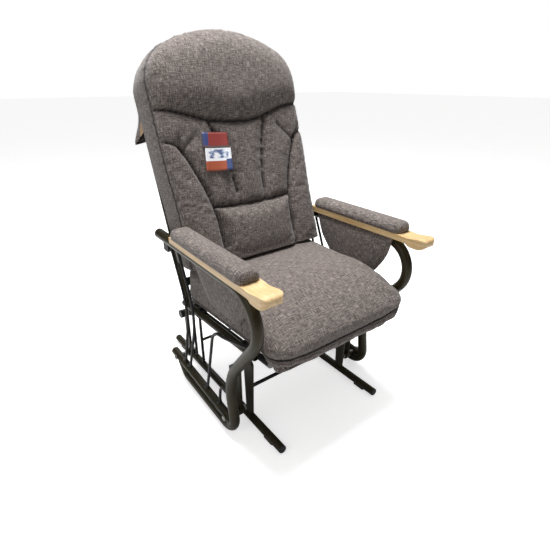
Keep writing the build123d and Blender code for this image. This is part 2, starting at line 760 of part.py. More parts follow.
# Back cushion: waisted below, square at the shoulders, arched on top, thicker at the head
def back_outline(half_width, low_half_width, start, top):
    """The outline of the back as a flat face, from a level up to the arched top."""
    arch = arch_start + top - back_height
    half_turn = crown_angle / 2
    corner_end = (half_width - shoulder_arc * (1 - cos(crown_angle)), arch + shoulder_arc * sin(crown_angle))
    corner_middle = (half_width - shoulder_arc * (1 - cos(half_turn)), arch + shoulder_arc * sin(half_turn))
    with BuildSketch() as flat:
        with BuildLine():
            if start < back_waist:
                Polyline((0, start), (low_half_width, start), (low_half_width, back_waist),
                         (half_width, back_shoulder), (half_width, arch))
            else:
                Polyline((0, start), (half_width, start), (half_width, arch))
            ThreePointArc((half_width, arch), corner_middle, corner_end)
            TangentArc(corner_end, (0, top), tangent=(-sin(crown_angle), cos(crown_angle)))
            Line((0, top), (0, start))
        make_face()
        mirror(about=Plane.YZ)
    return flat.sketch


cushion_outline = back_outline(back_half_width, back_low_half_width, -back_thickness, back_height)
headrest_outline = back_outline(back_half_width - headrest_inset, back_half_width - headrest_inset,
                                headrest_start, back_height - headrest_inset)
hood_outline = back_outline(back_half_width, back_half_width, hood_start, back_height)
hood_hollow = back_outline(back_half_width - hood_wall, back_half_width - hood_wall,
                           hood_start - hood_wall, back_height - hood_wall)
with BuildPart() as back_cushion:
    with BuildSketch(back_plane):
        add(cushion_outline)
    extrude(amount=back_thickness)
    fillet(back_cushion.faces().sort_by(Axis((0, 0, 0), back_plane.z_dir))[-1].edges(), back_round)
    with BuildSketch(back_plane.offset(back_thickness - back_round)):
        add(headrest_outline)
    extrude(amount=back_round + headrest_bulge)
    fillet(back_cushion.faces().sort_by(Axis((0, 0, 0), back_plane.z_dir))[-1].edges(), headrest_round)
    split(bisect_by=Plane((0, 0, seat_top_z + soft_gap)), keep=Keep.TOP)
write(back_cushion.part, "back_cushion")

# Hood: a fabric pocket behind the cushion that slips down over the top of the hoop
hood_depth = 2 * hoop_r + 2 * hoop_gap + hood_wall
with BuildPart() as back_hood:
    with BuildSketch(back_plane.offset(-hood_depth)):
        add(hood_outline)
    extrude(amount=hood_depth)
    with BuildSketch(back_plane.offset(-hood_depth + hood_wall)):
        add(hood_hollow)
    extrude(amount=hood_depth, mode=Mode.SUBTRACT)
write(back_hood.part, "back_hood")

# ================================================================ arms
# Arm rest: a wooden board with a lifted, rounded nose
with BuildPart() as arm_rest:
    with BuildSketch(Plane.YZ.offset(arm_x - arm_half_width)):
        with BuildLine():
            rear = Line((arm_rear_y, wood_low), (arm_rear_y, arm_top_z))
            top = Line(rear @ 1, (pad_front_y, arm_top_z))
            dip = Spline(
                top @ 1,
                (nose_dip_back - half_depth, arm_top_z - nose_dip),
                (nose_crest_back - half_depth, arm_top_z + nose_crest),
                (-half_depth, arm_top_z - nose_tip_drop),
                tangents=((-1, 0), (0, -1)),
            )
            lip = Spline(
                dip @ 1,
                (lip_back - half_depth, wood_low - lip_drop),
                (lip_run - half_depth, wood_low - lip_run_drop),
                (lip_end - half_depth, wood_low),
                tangents=((0, -1), (1, 0)),
            )
            Line(lip @ 1, rear @ 0)
        make_face()
    extrude(amount=2 * arm_half_width)
    with BuildSketch(Plane.XY):
        with BuildLine():
            front_left = (arm_x - arm_half_width, -half_depth)
            front_right = (arm_x + arm_half_width, -half_depth)
            FilletPolyline(
                (arm_x - arm_half_width, arm_rear_y), front_left, front_right,
                (arm_x + arm_half_width, arm_rear_y), radius=arm_corner,
            )
            Line((arm_x + arm_half_width, arm_rear_y), (arm_x - arm_half_width, arm_rear_y))
        make_face()
    extrude(amount=2 * arm_axis_z, mode=Mode.INTERSECT)
    add(side_outer, mode=Mode.SUBTRACT)
    add(arm_screws.part, mode=Mode.SUBTRACT)
write_pair(arm_rest.part, "arm_rest")

# Arm pad: a padded block on the board
with BuildPart() as arm_pad:
    with BuildSketch(Plane.XY.offset(arm_top_z)):
        with Locations((side_x + pad_offset, (pad_rear_y + pad_front_y) / 2)):
            RectangleRounded(2 * pad_half_width, pad_rear_y - pad_front_y, pad_corner)
    extrude(amount=pad_height)
    fillet(arm_pad.faces().sort_by(Axis.Z)[-1].edges(), pad_edge)
write_pair(arm_pad.part, "arm_pad")

# Side panel: a padded panel that hangs inside the side tube, below the arm
panel_top_z = wood_low - panel_top_gap
with BuildPart() as side_panel:
    with BuildSketch(Plane.YZ.offset(panel_x)):
        with BuildLine():
            outline = FilletPolyline(
                (panel_rear_y, panel_top_z), *panel_rear_corners,
                *panel_front_corners, (panel_front_y, panel_top_z),
                radius=[*panel_rear_bends, *panel_front_bends],
            )
            Line(outline @ 1, outline @ 0)
        make_face()
    extrude(amount=panel_thickness)
write_pair(side_panel.part, "side_panel")

# Hang tag: a plain card that hangs on the front of the back cushion
with BuildPart() as hang_tag:
    with BuildSketch(back_plane.offset(back_thickness + soft_gap)):
        with Locations((tag_x, tag_level)):
            RectangleRounded(tag_width, tag_height, tag_corner)
    extrude(amount=tag_thickness)
write(hang_tag.part, "hang_tag")
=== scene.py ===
# %% [markdown]
# # A padded glider chair
# The frame of this chair comes from CAD and stays exactly as it is. This lesson gives the
# frame its finishes and builds what CAD leaves plain: the cushions, the arm pads, the
# fabric hood and the card tag. Every length is in metres.

# %% Load the frame
import json
import math

import bpy
import numpy as np
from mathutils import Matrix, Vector, noise


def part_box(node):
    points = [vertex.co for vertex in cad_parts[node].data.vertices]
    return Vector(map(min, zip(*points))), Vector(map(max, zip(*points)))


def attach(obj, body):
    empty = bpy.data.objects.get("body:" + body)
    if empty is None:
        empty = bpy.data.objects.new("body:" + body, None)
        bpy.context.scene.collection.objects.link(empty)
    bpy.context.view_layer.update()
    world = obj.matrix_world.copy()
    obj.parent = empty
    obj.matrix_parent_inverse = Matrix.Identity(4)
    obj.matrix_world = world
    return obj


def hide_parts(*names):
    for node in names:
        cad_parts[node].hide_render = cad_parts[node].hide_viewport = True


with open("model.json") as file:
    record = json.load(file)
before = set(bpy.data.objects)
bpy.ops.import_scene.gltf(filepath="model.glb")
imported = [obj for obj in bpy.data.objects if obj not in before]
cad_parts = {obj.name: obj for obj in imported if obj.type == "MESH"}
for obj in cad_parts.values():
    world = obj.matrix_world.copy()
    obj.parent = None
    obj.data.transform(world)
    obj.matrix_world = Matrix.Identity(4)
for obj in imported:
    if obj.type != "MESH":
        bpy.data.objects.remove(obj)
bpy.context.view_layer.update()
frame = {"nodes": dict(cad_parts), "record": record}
scene = bpy.context.scene

# %% [markdown]
# ## Camera, floor and light
# The chair is seen from a standing adult's eye, a little to its right. A big soft light
# overhead does what a shop ceiling does: it makes the seat and the arms bright and leaves
# the upright faces darker. A pale floor and a white world keep the setting plain.

# %% Camera
CAMERA_PLACE = (-0.721, -0.994, 0.998)
CAMERA_DOWN = 25.99
CAMERA_TURN = -36.89
camera = bpy.data.objects.new("camera", bpy.data.cameras.new("camera"))
scene.collection.objects.link(camera)
camera.location = CAMERA_PLACE
camera.rotation_euler = (math.radians(90 - CAMERA_DOWN), 0, math.radians(CAMERA_TURN))
camera.data.sensor_width = 36
camera.data.lens = 26.1
camera.data.clip_start = 0.05
scene.camera = camera
scene.view_settings.view_transform = "Standard"
print("camera lens", camera.data.lens)


# %% A short way to write shader nodes
def node(tree, kind, inputs=None, **settings):
    """One node, its settings and its inputs. An input is a value or another node's socket."""
    made = tree.nodes.new(kind)
    for key, value in settings.items():
        setattr(made, key, value)
    for socket, value in (inputs or {}).items():
        if isinstance(value, bpy.types.NodeSocket):
            tree.links.new(value, made.inputs[socket])
        else:
            made.inputs[socket].default_value = value
    return made


def new_material(name, **fixed):
    """A material with one Principled shader. The values given are constant over the surface."""
    made = bpy.data.materials.new(name)
    made.use_nodes = True
    tree = made.node_tree
    tree.nodes.clear()
    shader = node(tree, "ShaderNodeBsdfPrincipled", {k.replace("_", " "): v for k, v in fixed.items()})
    node(tree, "ShaderNodeOutputMaterial", {"Surface": shader.outputs[0]})
    return made, tree, shader


def mixed(tree, factor, first, second, blend="MIX"):
    """Two colours mixed by a factor."""
    made = node(tree, "ShaderNodeMix", {0: factor, 6: first, 7: second}, data_type="RGBA", blend_type=blend)
    return made.outputs[2]


def sums(tree, operation, first, second=0.0, third=0.0):
    """One step of arithmetic on values or sockets."""
    return node(tree, "ShaderNodeMath", {0: first, 1: second, 2: third}, operation=operation).outputs[0]


def cloud(tree, vector, scale, detail=3.0, roughness=0.55):
    """Smooth noise from 0 to 1."""
    made = node(tree, "ShaderNodeTexNoise", {"Vector": vector, "Scale": scale, "Detail": detail,
                                             "Roughness": roughness})
    return made.outputs[0]


def stretched(tree, vector, scale):
    """Coordinates stretched by a scale for each axis."""
    return node(tree, "ShaderNodeMapping", {"Vector": vector, "Scale": scale}).outputs[0]


def ramp(tree, factor, stops):
    """A colour ramp with stops of (place, colour)."""
    made = node(tree, "ShaderNodeValToRGB", {"Fac": factor})
    points = made.color_ramp.elements
    while len(points) < len(stops):
        points.new(0.5)
    for point, (place, colour) in zip(points, stops):
        point.position = place
        point.color = (*colour, 1)
    return made.outputs[0]


def bumped(tree, shader, height, distance, strength=1.0):
    """Relief on a shader from a height in 0 to 1, that many metres deep."""
    made = node(tree, "ShaderNodeBump", {"Height": height, "Distance": distance, "Strength": strength})
    tree.links.new(made.outputs[0], shader.inputs["Normal"])
    return made


def object_place(tree):
    """A point's own place on the object, in metres."""
    return node(tree, "ShaderNodeTexCoord").outputs["Object"]


print("shader helpers ready")

# %% Floor and lights
floor_mesh = bpy.data.meshes.new("floor")
FLOOR_REACH = 30.0
floor_mesh.from_pydata([(-FLOOR_REACH, -FLOOR_REACH, 0), (FLOOR_REACH, -FLOOR_REACH, 0),
                        (FLOOR_REACH, FLOOR_REACH, 0), (-FLOOR_REACH, FLOOR_REACH, 0)], [], [(0, 1, 2, 3)])
floor = bpy.data.objects.new("floor", floor_mesh)
scene.collection.objects.link(floor)
floor_look, floor_tree, floor_shader = new_material("pale_floor", Roughness=0.9)
floor_shade = cloud(floor_tree, object_place(floor_tree), 3.0)
floor_tree.links.new(ramp(floor_tree, floor_shade, [(0.3, (0.86, 0.86, 0.855)), (0.7, (0.9, 0.9, 0.895))]),
                     floor_shader.inputs["Base Color"])
floor_seen = node(floor_tree, "ShaderNodeLightPath").outputs["Is Camera Ray"]
floor_tree.links.new(mixed(floor_tree, floor_seen, (0, 0, 0, 1), (1, 1, 1, 1)),
                     floor_shader.inputs["Emission Color"])
floor_shader.inputs["Emission Strength"].default_value = 0.6
floor_mesh.materials.append(floor_look)

world = bpy.data.worlds.new("studio")
world.use_nodes = True
sky_tree = world.node_tree
sky = sky_tree.nodes["Background"]
sky_way = node(sky_tree, "ShaderNodeTexCoord").outputs["Generated"]
way = node(sky_tree, "ShaderNodeSeparateXYZ", {0: sky_way})
DOME = [(0.0, (0.05, 0.05, 0.052)), (0.4, (0.10, 0.10, 0.102)), (0.85, (0.60, 0.60, 0.60))]
dome = ramp(sky_tree, way.outputs[2], DOME)
seen = node(sky_tree, "ShaderNodeLightPath").outputs["Is Camera Ray"]
sky_tree.links.new(mixed(sky_tree, seen, dome, (1, 1, 1, 1)), sky.inputs["Color"])
sky.inputs["Strength"].default_value = 1.0
scene.world = world


def area_light(name, place, target, size, power):
    """A square soft light that looks at a target."""
    lamp = bpy.data.lights.new(name, "AREA")
    lamp.size = size
    lamp.energy = power
    made = bpy.data.objects.new(name, lamp)
    made.location = place
    aim = Vector(target) - Vector(place)
    made.rotation_euler = aim.to_track_quat("-Z", "Y").to_euler()
    scene.collection.objects.link(made)
    return made


area_light("ceiling_light", (0.0, 0.30, 2.9), (0, 0, 0.4), 1.2, 108)
area_light("left_fill", (-2.6, -0.7, 1.5), (0, 0, 0.6), 1.6, 12)
area_light("rear_light", (1.0, 2.4, 2.6), (0, 0, 0.7), 1.4, 16)
print("floor and three lights")

# %% [markdown]
# ## Powder coat, paint and plated steel
# The main tubes are powder coated in a dark olive bronze. Powder coat melts into a skin
# with a faint orange peel, so a fine noise drives a shallow bump. Metal flakes in it make
# it slightly metallic. Handling polishes it a little, so roughness varies slowly.


# %% Painted metals
def coated_metal(name, dark, light, metallic, roughness, peel, coat=0.0):
    """Powder coat or paint: slow colour drift, orange peel and small dust marks."""
    made, tree, shader = new_material(name, Metallic=metallic, Coat_Weight=coat, Coat_Roughness=0.25,
                                      Specular_IOR_Level=0.2)
    place = object_place(tree)
    drift = cloud(tree, place, 9.0, 4.0)
    flake = cloud(tree, place, 900.0, 2.0)
    body = ramp(tree, drift, [(0.3, dark), (0.7, light)])
    darkest, lightest = tuple(0.7 * c for c in dark), tuple(1.35 * c for c in light)
    speck = ramp(tree, flake, [(0.42, darkest), (0.62, lightest)])
    tree.links.new(mixed(tree, 0.35, body, speck), shader.inputs["Base Color"])
    worn = cloud(tree, place, 40.0, 5.0)
    rough = sums(tree, "MULTIPLY_ADD", worn, 0.22, roughness - 0.11)
    tree.links.new(rough, shader.inputs["Roughness"])
    bumped(tree, shader, cloud(tree, place, peel, 2.0), 0.00025, 0.5)
    return made


def plain_steel(name, colour, roughness):
    """Plated or turned steel: bright, finely brushed, a little stained."""
    made, tree, shader = new_material(name, Metallic=1.0)
    place = object_place(tree)
    lines = cloud(tree, stretched(tree, place, (1800, 90, 1800)), 1.0, 3.0)
    stain = cloud(tree, place, 60.0, 5.0)
    dull = tuple(0.6 * c for c in colour)
    tree.links.new(ramp(tree, stain, [(0.35, dull), (0.65, colour)]), shader.inputs["Base Color"])
    tree.links.new(sums(tree, "MULTIPLY_ADD", lines, 0.3, roughness - 0.15), shader.inputs["Roughness"])
    bumped(tree, shader, lines, 0.00006, 0.5)
    return made


def moulded_plastic(name, colour, roughness):
    """Matt moulded plastic with a fine spark-eroded grain."""
    made, tree, shader = new_material(name, Specular_IOR_Level=0.4)
    place = object_place(tree)
    grain = cloud(tree, place, 1500.0, 2.0)
    scuff = cloud(tree, place, 70.0, 6.0)
    pale = tuple(1.6 * c + 0.01 for c in colour)
    tree.links.new(ramp(tree, scuff, [(0.45, colour), (0.8, pale)]), shader.inputs["Base Color"])
    tree.links.new(sums(tree, "MULTIPLY_ADD", scuff, 0.2, roughness - 0.1), shader.inputs["Roughness"])
    bumped(tree, shader, grain, 0.00012, 0.6)
    return made


looks = {
    "bronze_frame": coated_metal("bronze_powder_coat", (0.022, 0.0175, 0.008),
                                 (0.036, 0.029, 0.014), 0.2, 0.36, 420.0, 0.12),
    "black_steel": coated_metal("black_satin_paint", (0.012, 0.012, 0.012),
                                (0.024, 0.023, 0.022), 0.1, 0.42, 500.0, 0.1),
    "black_plastic": moulded_plastic("black_moulded_plastic", (0.018, 0.018, 0.019), 0.5),
    "grey_plastic": moulded_plastic("grey_moulded_plastic", (0.17, 0.165, 0.15), 0.48),
    "glide_plastic": moulded_plastic("glide_plastic", (0.03, 0.03, 0.03), 0.6),
    "zinc_hardware": plain_steel("zinc_plate", (0.42, 0.42, 0.4), 0.38),
    "bearing_steel": plain_steel("turned_steel", (0.5, 0.5, 0.51), 0.28),
    "spring_steel": coated_metal("oiled_spring_wire", (0.03, 0.03, 0.032),
                                 (0.06, 0.058, 0.055), 0.8, 0.35, 600.0),
}
print("metal and plastic finishes:", ", ".join(sorted(looks)))

# %% [markdown]
# ## Maple
# The arm boards are pale maple under a clear satin varnish. The grain runs the length of
# the board, so noise is squeezed across the board and stretched along it. A second, finer
# noise gives the short dark pores, and the varnish is a thin coat on top.


# %% Wood with its grain along Y
def maple_wood():
    """Pale wood, grain along the board."""
    made, tree, shader = new_material("varnished_maple", Coat_Weight=0.35, Coat_Roughness=0.22)
    place = object_place(tree)
    wander = cloud(tree, stretched(tree, place, (14, 3, 14)), 1.0, 3.0)
    bent = node(tree, "ShaderNodeVectorMath", {0: stretched(tree, place, (150, 7, 150)),
                                               1: wander}, operation="ADD").outputs[0]
    rings = cloud(tree, bent, 1.0, 4.0, 0.6)
    pores = cloud(tree, stretched(tree, place, (1400, 45, 1400)), 1.0, 2.0)
    body = ramp(tree, rings, [(0.3, (0.53, 0.345, 0.155)), (0.5, (0.64, 0.445, 0.22)),
                              (0.68, (0.72, 0.525, 0.285))])
    dark = ramp(tree, pores, [(0.30, (0.55, 0.42, 0.28)), (0.42, (1, 1, 1))])
    tree.links.new(mixed(tree, 0.45, body, dark, "MULTIPLY"), shader.inputs["Base Color"])
    tree.links.new(sums(tree, "MULTIPLY_ADD", rings, 0.16, 0.34), shader.inputs["Roughness"])
    bumped(tree, shader, pores, 0.0001, 0.5)
    return made


looks["maple"] = maple_wood()
print("maple ready")

# %% [markdown]
# ## Tweed
# The cover is a heathered tweed. Its thick and thin yarns show as short streaks both along
# and across the cloth. Each fabric piece has a UV map in metres that follows its cloth, so
# two noises, one squeezed each way, give the yarns, and small cells give the threads under
# them. Light and purplish flecks sit on top. The fuzz of the yarn is a little sheen.


# %% Tweed from stretched noise
WEAVE_MAP = "cloth_metres"
SEAM_SHADE = "seam_shade"
WARP_SCALE, WEFT_SCALE = (640, 55, 1), (48, 600, 1)


def tweed_cloth(name, shade):
    """Heathered grey-brown cloth. shade scales how light it is."""
    made, tree, shader = new_material(name, Roughness=0.92, Sheen_Weight=0.22, Sheen_Roughness=0.45,
                                      Specular_IOR_Level=0.2)
    flat = node(tree, "ShaderNodeUVMap", uv_map=WEAVE_MAP).outputs[0]
    warp = cloud(tree, stretched(tree, flat, WARP_SCALE), 1.0, 1.0, 0.5)
    weft = cloud(tree, stretched(tree, flat, WEFT_SCALE), 1.0, 1.0, 0.5)
    fine = node(tree, "ShaderNodeTexVoronoi", {"Vector": stretched(tree, flat, (900, 900, 1)),
                                               "Scale": 1.0})
    slow = cloud(tree, flat, 16.0, 3.0)

    def tone(r, g, b):
        return (r * shade, g * shade, b * shade)

    grey = [(0.34, (0.54, 0.53, 0.53)), (0.47, (0.84, 0.84, 0.84)),
            (0.53, (1.02, 1.02, 1.02)), (0.66, (1.58, 1.58, 1.55))]
    body = mixed(tree, 1.0, ramp(tree, warp, grey), ramp(tree, weft, grey), "MULTIPLY")
    body = mixed(tree, 1.0, body, (*tone(0.182, 0.156, 0.143), 1), "MULTIPLY")
    fleck_place = cloud(tree, stretched(tree, flat, (240, 170, 1)), 1.0, 1.0)
    plum = ramp(tree, fleck_place, [(0.58, (0, 0, 0)), (0.66, (1, 1, 1))])
    body = mixed(tree, sums(tree, "MULTIPLY", plum, 0.25), body, (*tone(0.135, 0.100, 0.135), 1))
    light_place = cloud(tree, stretched(tree, flat, (190, 360, 1)), 1.3, 1.0)
    light = ramp(tree, light_place, [(0.64, (0, 0, 0)), (0.70, (1, 1, 1))])
    body = mixed(tree, sums(tree, "MULTIPLY", light, 0.25), body, (*tone(0.36, 0.32, 0.30), 1))
    body = mixed(tree, 0.5, body, ramp(tree, slow, [(0.3, (0.85, 0.85, 0.85)), (0.7, (1, 1, 1))]), "MULTIPLY")
    thread = ramp(tree, fine.outputs["Distance"], [(0.1, (1, 1, 1)), (0.6, (0.75, 0.75, 0.75))])
    body = mixed(tree, 0.6, body, thread, "MULTIPLY")
    yarns = sums(tree, "MAXIMUM", warp, weft)
    # Painted shade: along sewn seams, tucks and welts the tweed is darkened towards near black, for the
    # shadow in the cloth's valleys.
    seam = node(tree, "ShaderNodeAttribute", attribute_name=SEAM_SHADE).outputs["Fac"]
    seam_painted_shade = mixed(tree, sums(tree, "MULTIPLY", seam, 0.86), body, (*tone(0.016, 0.013, 0.012), 1))
    tree.links.new(seam_painted_shade, shader.inputs["Base Color"])
    height = sums(tree, "SUBTRACT", yarns, sums(tree, "MULTIPLY", fine.outputs["Distance"], 0.35))
    bumped(tree, shader, height, 0.0006, 0.5)
    return made


looks["tweed"] = tweed_cloth("heathered_tweed", 1.0)
# Painted shade: the inside of the hood is the same tweed at half brightness, for the shadow in the pocket
# behind the cloth.
shaded_hood_tweed = tweed_cloth("hood_inside_painted_shade", 0.5)


def thread_look():
    """Sewing thread: twisted, slightly shiny."""
    made, tree, shader = new_material("dark_thread", Roughness=0.7, Sheen_Weight=0.2)
    twist = cloud(tree, stretched(tree, object_place(tree), (900, 900, 900)), 1.0, 2.0)
    tree.links.new(ramp(tree, twist, [(0.35, (0.035, 0.03, 0.03)), (0.65, (0.10, 0.09, 0.085))]),
                   shader.inputs["Base Color"])
    bumped(tree, shader, twist, 0.0002, 0.6)
    return made


def cotton_tape():
    """Tan twill tape: fine slanting ribs."""
    made, tree, shader = new_material("cotton_tape", Roughness=0.85, Sheen_Weight=0.1)
    place = object_place(tree)
    ribs = node(tree, "ShaderNodeTexWave", {"Vector": place, "Scale": 260.0,
                                            "Distortion": 1.5, "Detail": 2.0})
    tree.links.new(ramp(tree, ribs.outputs[1], [(0.2, (0.30, 0.19, 0.10)), (0.8, (0.46, 0.31, 0.18))]),
                   shader.inputs["Base Color"])
    bumped(tree, shader, ribs.outputs[1], 0.0002, 0.6)
    return made


looks["thread"] = thread_look()
looks["tape"] = cotton_tape()
print("tweed and thread ready")

# %% Give the CAD pieces the finishes made so far
slots = {row["node"]: row["material_slot"] for row in frame["record"]["subparts"]}
for name, piece in frame["nodes"].items():
    look = looks.get(slots[name])
    if look is None:
        continue
    piece.data.materials.clear()
    piece.data.materials.append(look)
print(len(slots), "CAD pieces have a finish")

# %% [markdown]
# ## How a stuffed piece is made
# A cushion is two panels of cloth with a strip of cloth, the boxing, sewn between them.
# Here a grid is bent into the top panel, rings of wall run down from its edge, and a second
# grid closes it. The grid keeps the cloth's own coordinates for the tweed. Seam points are
# pinned and a cloth simulation blows the rest up like a filling, which leaves valleys at
# the seams and soft swelling between them.


# %% Grid helpers
def quarter(x):
    """Rises from 0 at x = 0 to 1 at x = 1 like a quarter circle."""
    x = np.clip(x, 0, 1)
    return np.sqrt(1 - (1 - x) ** 2)


def smooth(x):
    """Smooth step from 0 to 1."""
    x = np.clip(x, 0, 1)
    return x * x * (3 - 2 * x)


def distance_to(points, line):
    """Distance of each point from a polyline, and the nearest place on it."""
    starts, ends = line[:-1], line[1:]
    runs = ends - starts
    lengths = (runs ** 2).sum(1) + 1e-12
    best = np.full(len(points), 1e9)
    nearest = points.copy()
    for start, run, length in zip(starts, runs, lengths):
        share = np.clip(((points - start) @ run) / length, 0, 1)
        place = start + share[:, None] * run
        gap = np.sqrt(((points - place) ** 2).sum(1))
        closer = gap < best
        best[closer] = gap[closer]
        nearest[closer] = place[closer]
    return best, nearest


def curved(points, steps=8):
    """A smooth line through a few points, by Catmull-Rom."""
    p = np.array([points[0], *points, points[-1]], float)
    made = []
    for i in range(1, len(p) - 2):
        for k in range(steps):
            t = k / steps
            made.append(0.5 * (2 * p[i] + (p[i + 1] - p[i - 1]) * t
                               + (2 * p[i - 1] - 5 * p[i] + 4 * p[i + 1] - p[i + 2]) * t ** 2
                               + (3 * p[i] - p[i - 1] - 3 * p[i + 1] + p[i + 2]) * t ** 3))
    made.append(p[-2])
    return np.array(made)


def rim_of(rows, cols):
    """Indices round the edge of a grid, anticlockwise."""
    low = [(0, c) for c in range(cols)]
    right = [(r, cols - 1) for r in range(1, rows)]
    top = [(rows - 1, c) for c in range(cols - 2, -1, -1)]
    left = [(r, 0) for r in range(rows - 2, 0, -1)]
    return [r * cols + c for r, c in low + right + top + left]


print("grid helpers ready")


# %% A boxed cushion from two grids and a wall
def stuffed(name, u, v, top, rings, under, place):
    """A closed piece. u, v are the plan, top and under the two faces' depths, and each ring is
    (outward offset, depth) for every point of the rim. place turns (u, v, depth) into metres."""
    rows, cols = u.shape
    rim = rim_of(rows, cols)
    flat = np.stack([u.ravel(), v.ravel()], 1)
    edge = flat[rim]
    tangent = np.roll(edge, -1, 0) - np.roll(edge, 1, 0)
    outward = np.stack([tangent[:, 1], -tangent[:, 0]], 1)
    outward /= np.linalg.norm(outward, axis=1)[:, None] + 1e-12
    along = np.concatenate([[0], np.cumsum(np.linalg.norm(np.diff(edge, axis=0), axis=1))])
    turn = along[-1] + np.linalg.norm(edge[0] - edge[-1])
    points = [np.column_stack([flat, top.ravel()])]
    size, count = rows * cols, len(rim)
    loops = [rim]
    for offset, depth in rings[:-1]:
        start = size + (len(loops) - 1) * count
        points.append(np.column_stack([edge + outward * np.reshape(offset, (-1, 1)), depth]))
        loops.append(list(range(start, start + count)))
    base = size + (len(loops) - 1) * count
    low_flat = flat.copy()
    low_flat[rim] = edge + outward * np.reshape(rings[-1][0], (-1, 1))
    low_depth = under.ravel().copy()
    low_depth[rim] = rings[-1][1]
    points.append(np.column_stack([low_flat, low_depth]))
    loops.append([base + i for i in rim])
    points = np.concatenate(points)
    faces, uvs = [], []
    for r in range(rows - 1):
        for c in range(cols - 1):
            a = r * cols + c
            quad = (a, a + 1, a + 1 + cols, a + cols)
            faces.append(quad)
            uvs.append([tuple(flat[i]) for i in quad])
    drop = 0.0
    for upper, lower in zip(loops[:-1], loops[1:]):
        step = float(np.linalg.norm(points[upper] - points[lower], axis=1).mean())
        for k in range(count):
            n = (k + 1) % count
            a0, a1 = along[k], along[n] if n else turn
            faces.append((upper[k], lower[k], lower[n], upper[n]))
            uvs.append([(a0, drop), (a0, drop + step), (a1, drop + step), (a1, drop)])
        drop += step
    for r in range(rows - 1):
        for c in range(cols - 1):
            a = r * cols + c
            quad = (a, a + cols, a + 1 + cols, a + 1)
            faces.append(tuple(base + i for i in quad))
            uvs.append([tuple(flat[i]) for i in quad])
    mesh = bpy.data.meshes.new(name)
    mesh.from_pydata([place(*p) for p in points], [], faces)
    layer = mesh.uv_layers.new(name=WEAVE_MAP)
    layer.data.foreach_set("uv", np.array(uvs, float).ravel())
    mesh.polygons.foreach_set("use_smooth", [True] * len(faces))
    mesh.update()
    made = bpy.data.objects.new(name, mesh)
    scene.collection.objects.link(made)
    made.data.materials.append(looks["tweed"])
    print(name, len(points), "points")
    return made, loops, points


def upright_place(u, v, d):
    """Plan in X and Y, depth in Z."""
    return (u, v, d)


def shade_seams(made, values):
    """Store how close each point is to a sewn line, where the tweed darkens as painted shade in the seam's
    valley.
    """
    attribute = made.data.attributes.new(SEAM_SHADE, "FLOAT", "POINT")
    attribute.data.foreach_set("value", np.asarray(values, np.float32))


def cloth_pins(made, weights):
    """The vertex group that holds the seams still."""
    group = made.vertex_groups.new(name="held")
    for index, weight in enumerate(weights):
        if weight > 0:
            group.add([index], float(weight), "REPLACE")


print("stuffed() ready")

# %% [markdown]
# ## The back cushion
# The back has a deep headrest roll, two side wings, a middle cut into three channels and a
# lumbar roll above the seat. I lay those seams out as curves on the leaning back, snap the
# nearest grid points to them, sink them, and let the cloth swell between.

# %% Back plane and outline
LEAN = math.radians(19.3)
BACK_HEIGHT = 0.678
HALF_WIDTH = 0.262
LOW_HALF_WIDTH = 0.248
WAIST_EASE, WAIST_TOP, WAIST_RUN = 0.008, 0.16, 0.14
SHOULDER_ARC = 0.130
CROWN_TURN = math.radians(60)
SHOULDER_END = HALF_WIDTH - SHOULDER_ARC * (1 - math.cos(CROWN_TURN))
CROWN_ARC = SHOULDER_END / math.cos(CROWN_TURN)
ARCH_START = (BACK_HEIGHT - SHOULDER_ARC * math.sin(CROWN_TURN)
              - CROWN_ARC * (1 - math.sin(CROWN_TURN)))
back_low, back_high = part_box("back_cushion")
back_foot_z = back_low.z
back_foot_y = back_high.y - BACK_HEIGHT * math.sin(LEAN)


def back_place(u, v, d):
    """A point on the leaning back: u across, v up the lean, d forward of the rear face."""
    return (u, back_foot_y + v * math.sin(LEAN) - d * math.cos(LEAN),
            back_foot_z + v * math.cos(LEAN) + d * math.sin(LEAN))


def arch(u):
    """Height of the arched top over each place across."""
    x = np.minimum(np.abs(u), HALF_WIDTH - 1e-6)
    crown_middle = BACK_HEIGHT - CROWN_ARC
    on_crown = crown_middle + np.sqrt(np.maximum(CROWN_ARC ** 2 - x ** 2, 0))
    shoulder_middle = HALF_WIDTH - SHOULDER_ARC
    on_shoulder = ARCH_START + np.sqrt(np.maximum(SHOULDER_ARC ** 2
                                                  - (x - shoulder_middle) ** 2, 0))
    return np.where(x < SHOULDER_END, on_crown, on_shoulder)


def waist(v):
    """Half width of the back at each level."""
    rise = smooth((v - WAIST_TOP) / WAIST_RUN)
    return LOW_HALF_WIDTH + WAIST_EASE + (HALF_WIDTH - LOW_HALF_WIDTH - WAIST_EASE) * rise


EDGE_CROWDING = 0.94


def back_plan(cols, rows, low):
    """The back's outline filled with a grid, finer towards its sides, up to the arch."""
    reach = math.pi / 2 * EDGE_CROWDING
    s = np.sin(np.linspace(-1, 1, cols) * math.pi / 2 * EDGE_CROWDING) / math.sin(reach)
    t = np.linspace(0, 1, rows)
    s, t = np.meshgrid(s, t)
    top = arch(s * HALF_WIDTH)
    v = low + t * (top - low)
    return s * waist(v), v


print("back foot", round(back_foot_y, 4), round(back_foot_z, 4), "arch starts", round(ARCH_START, 4))

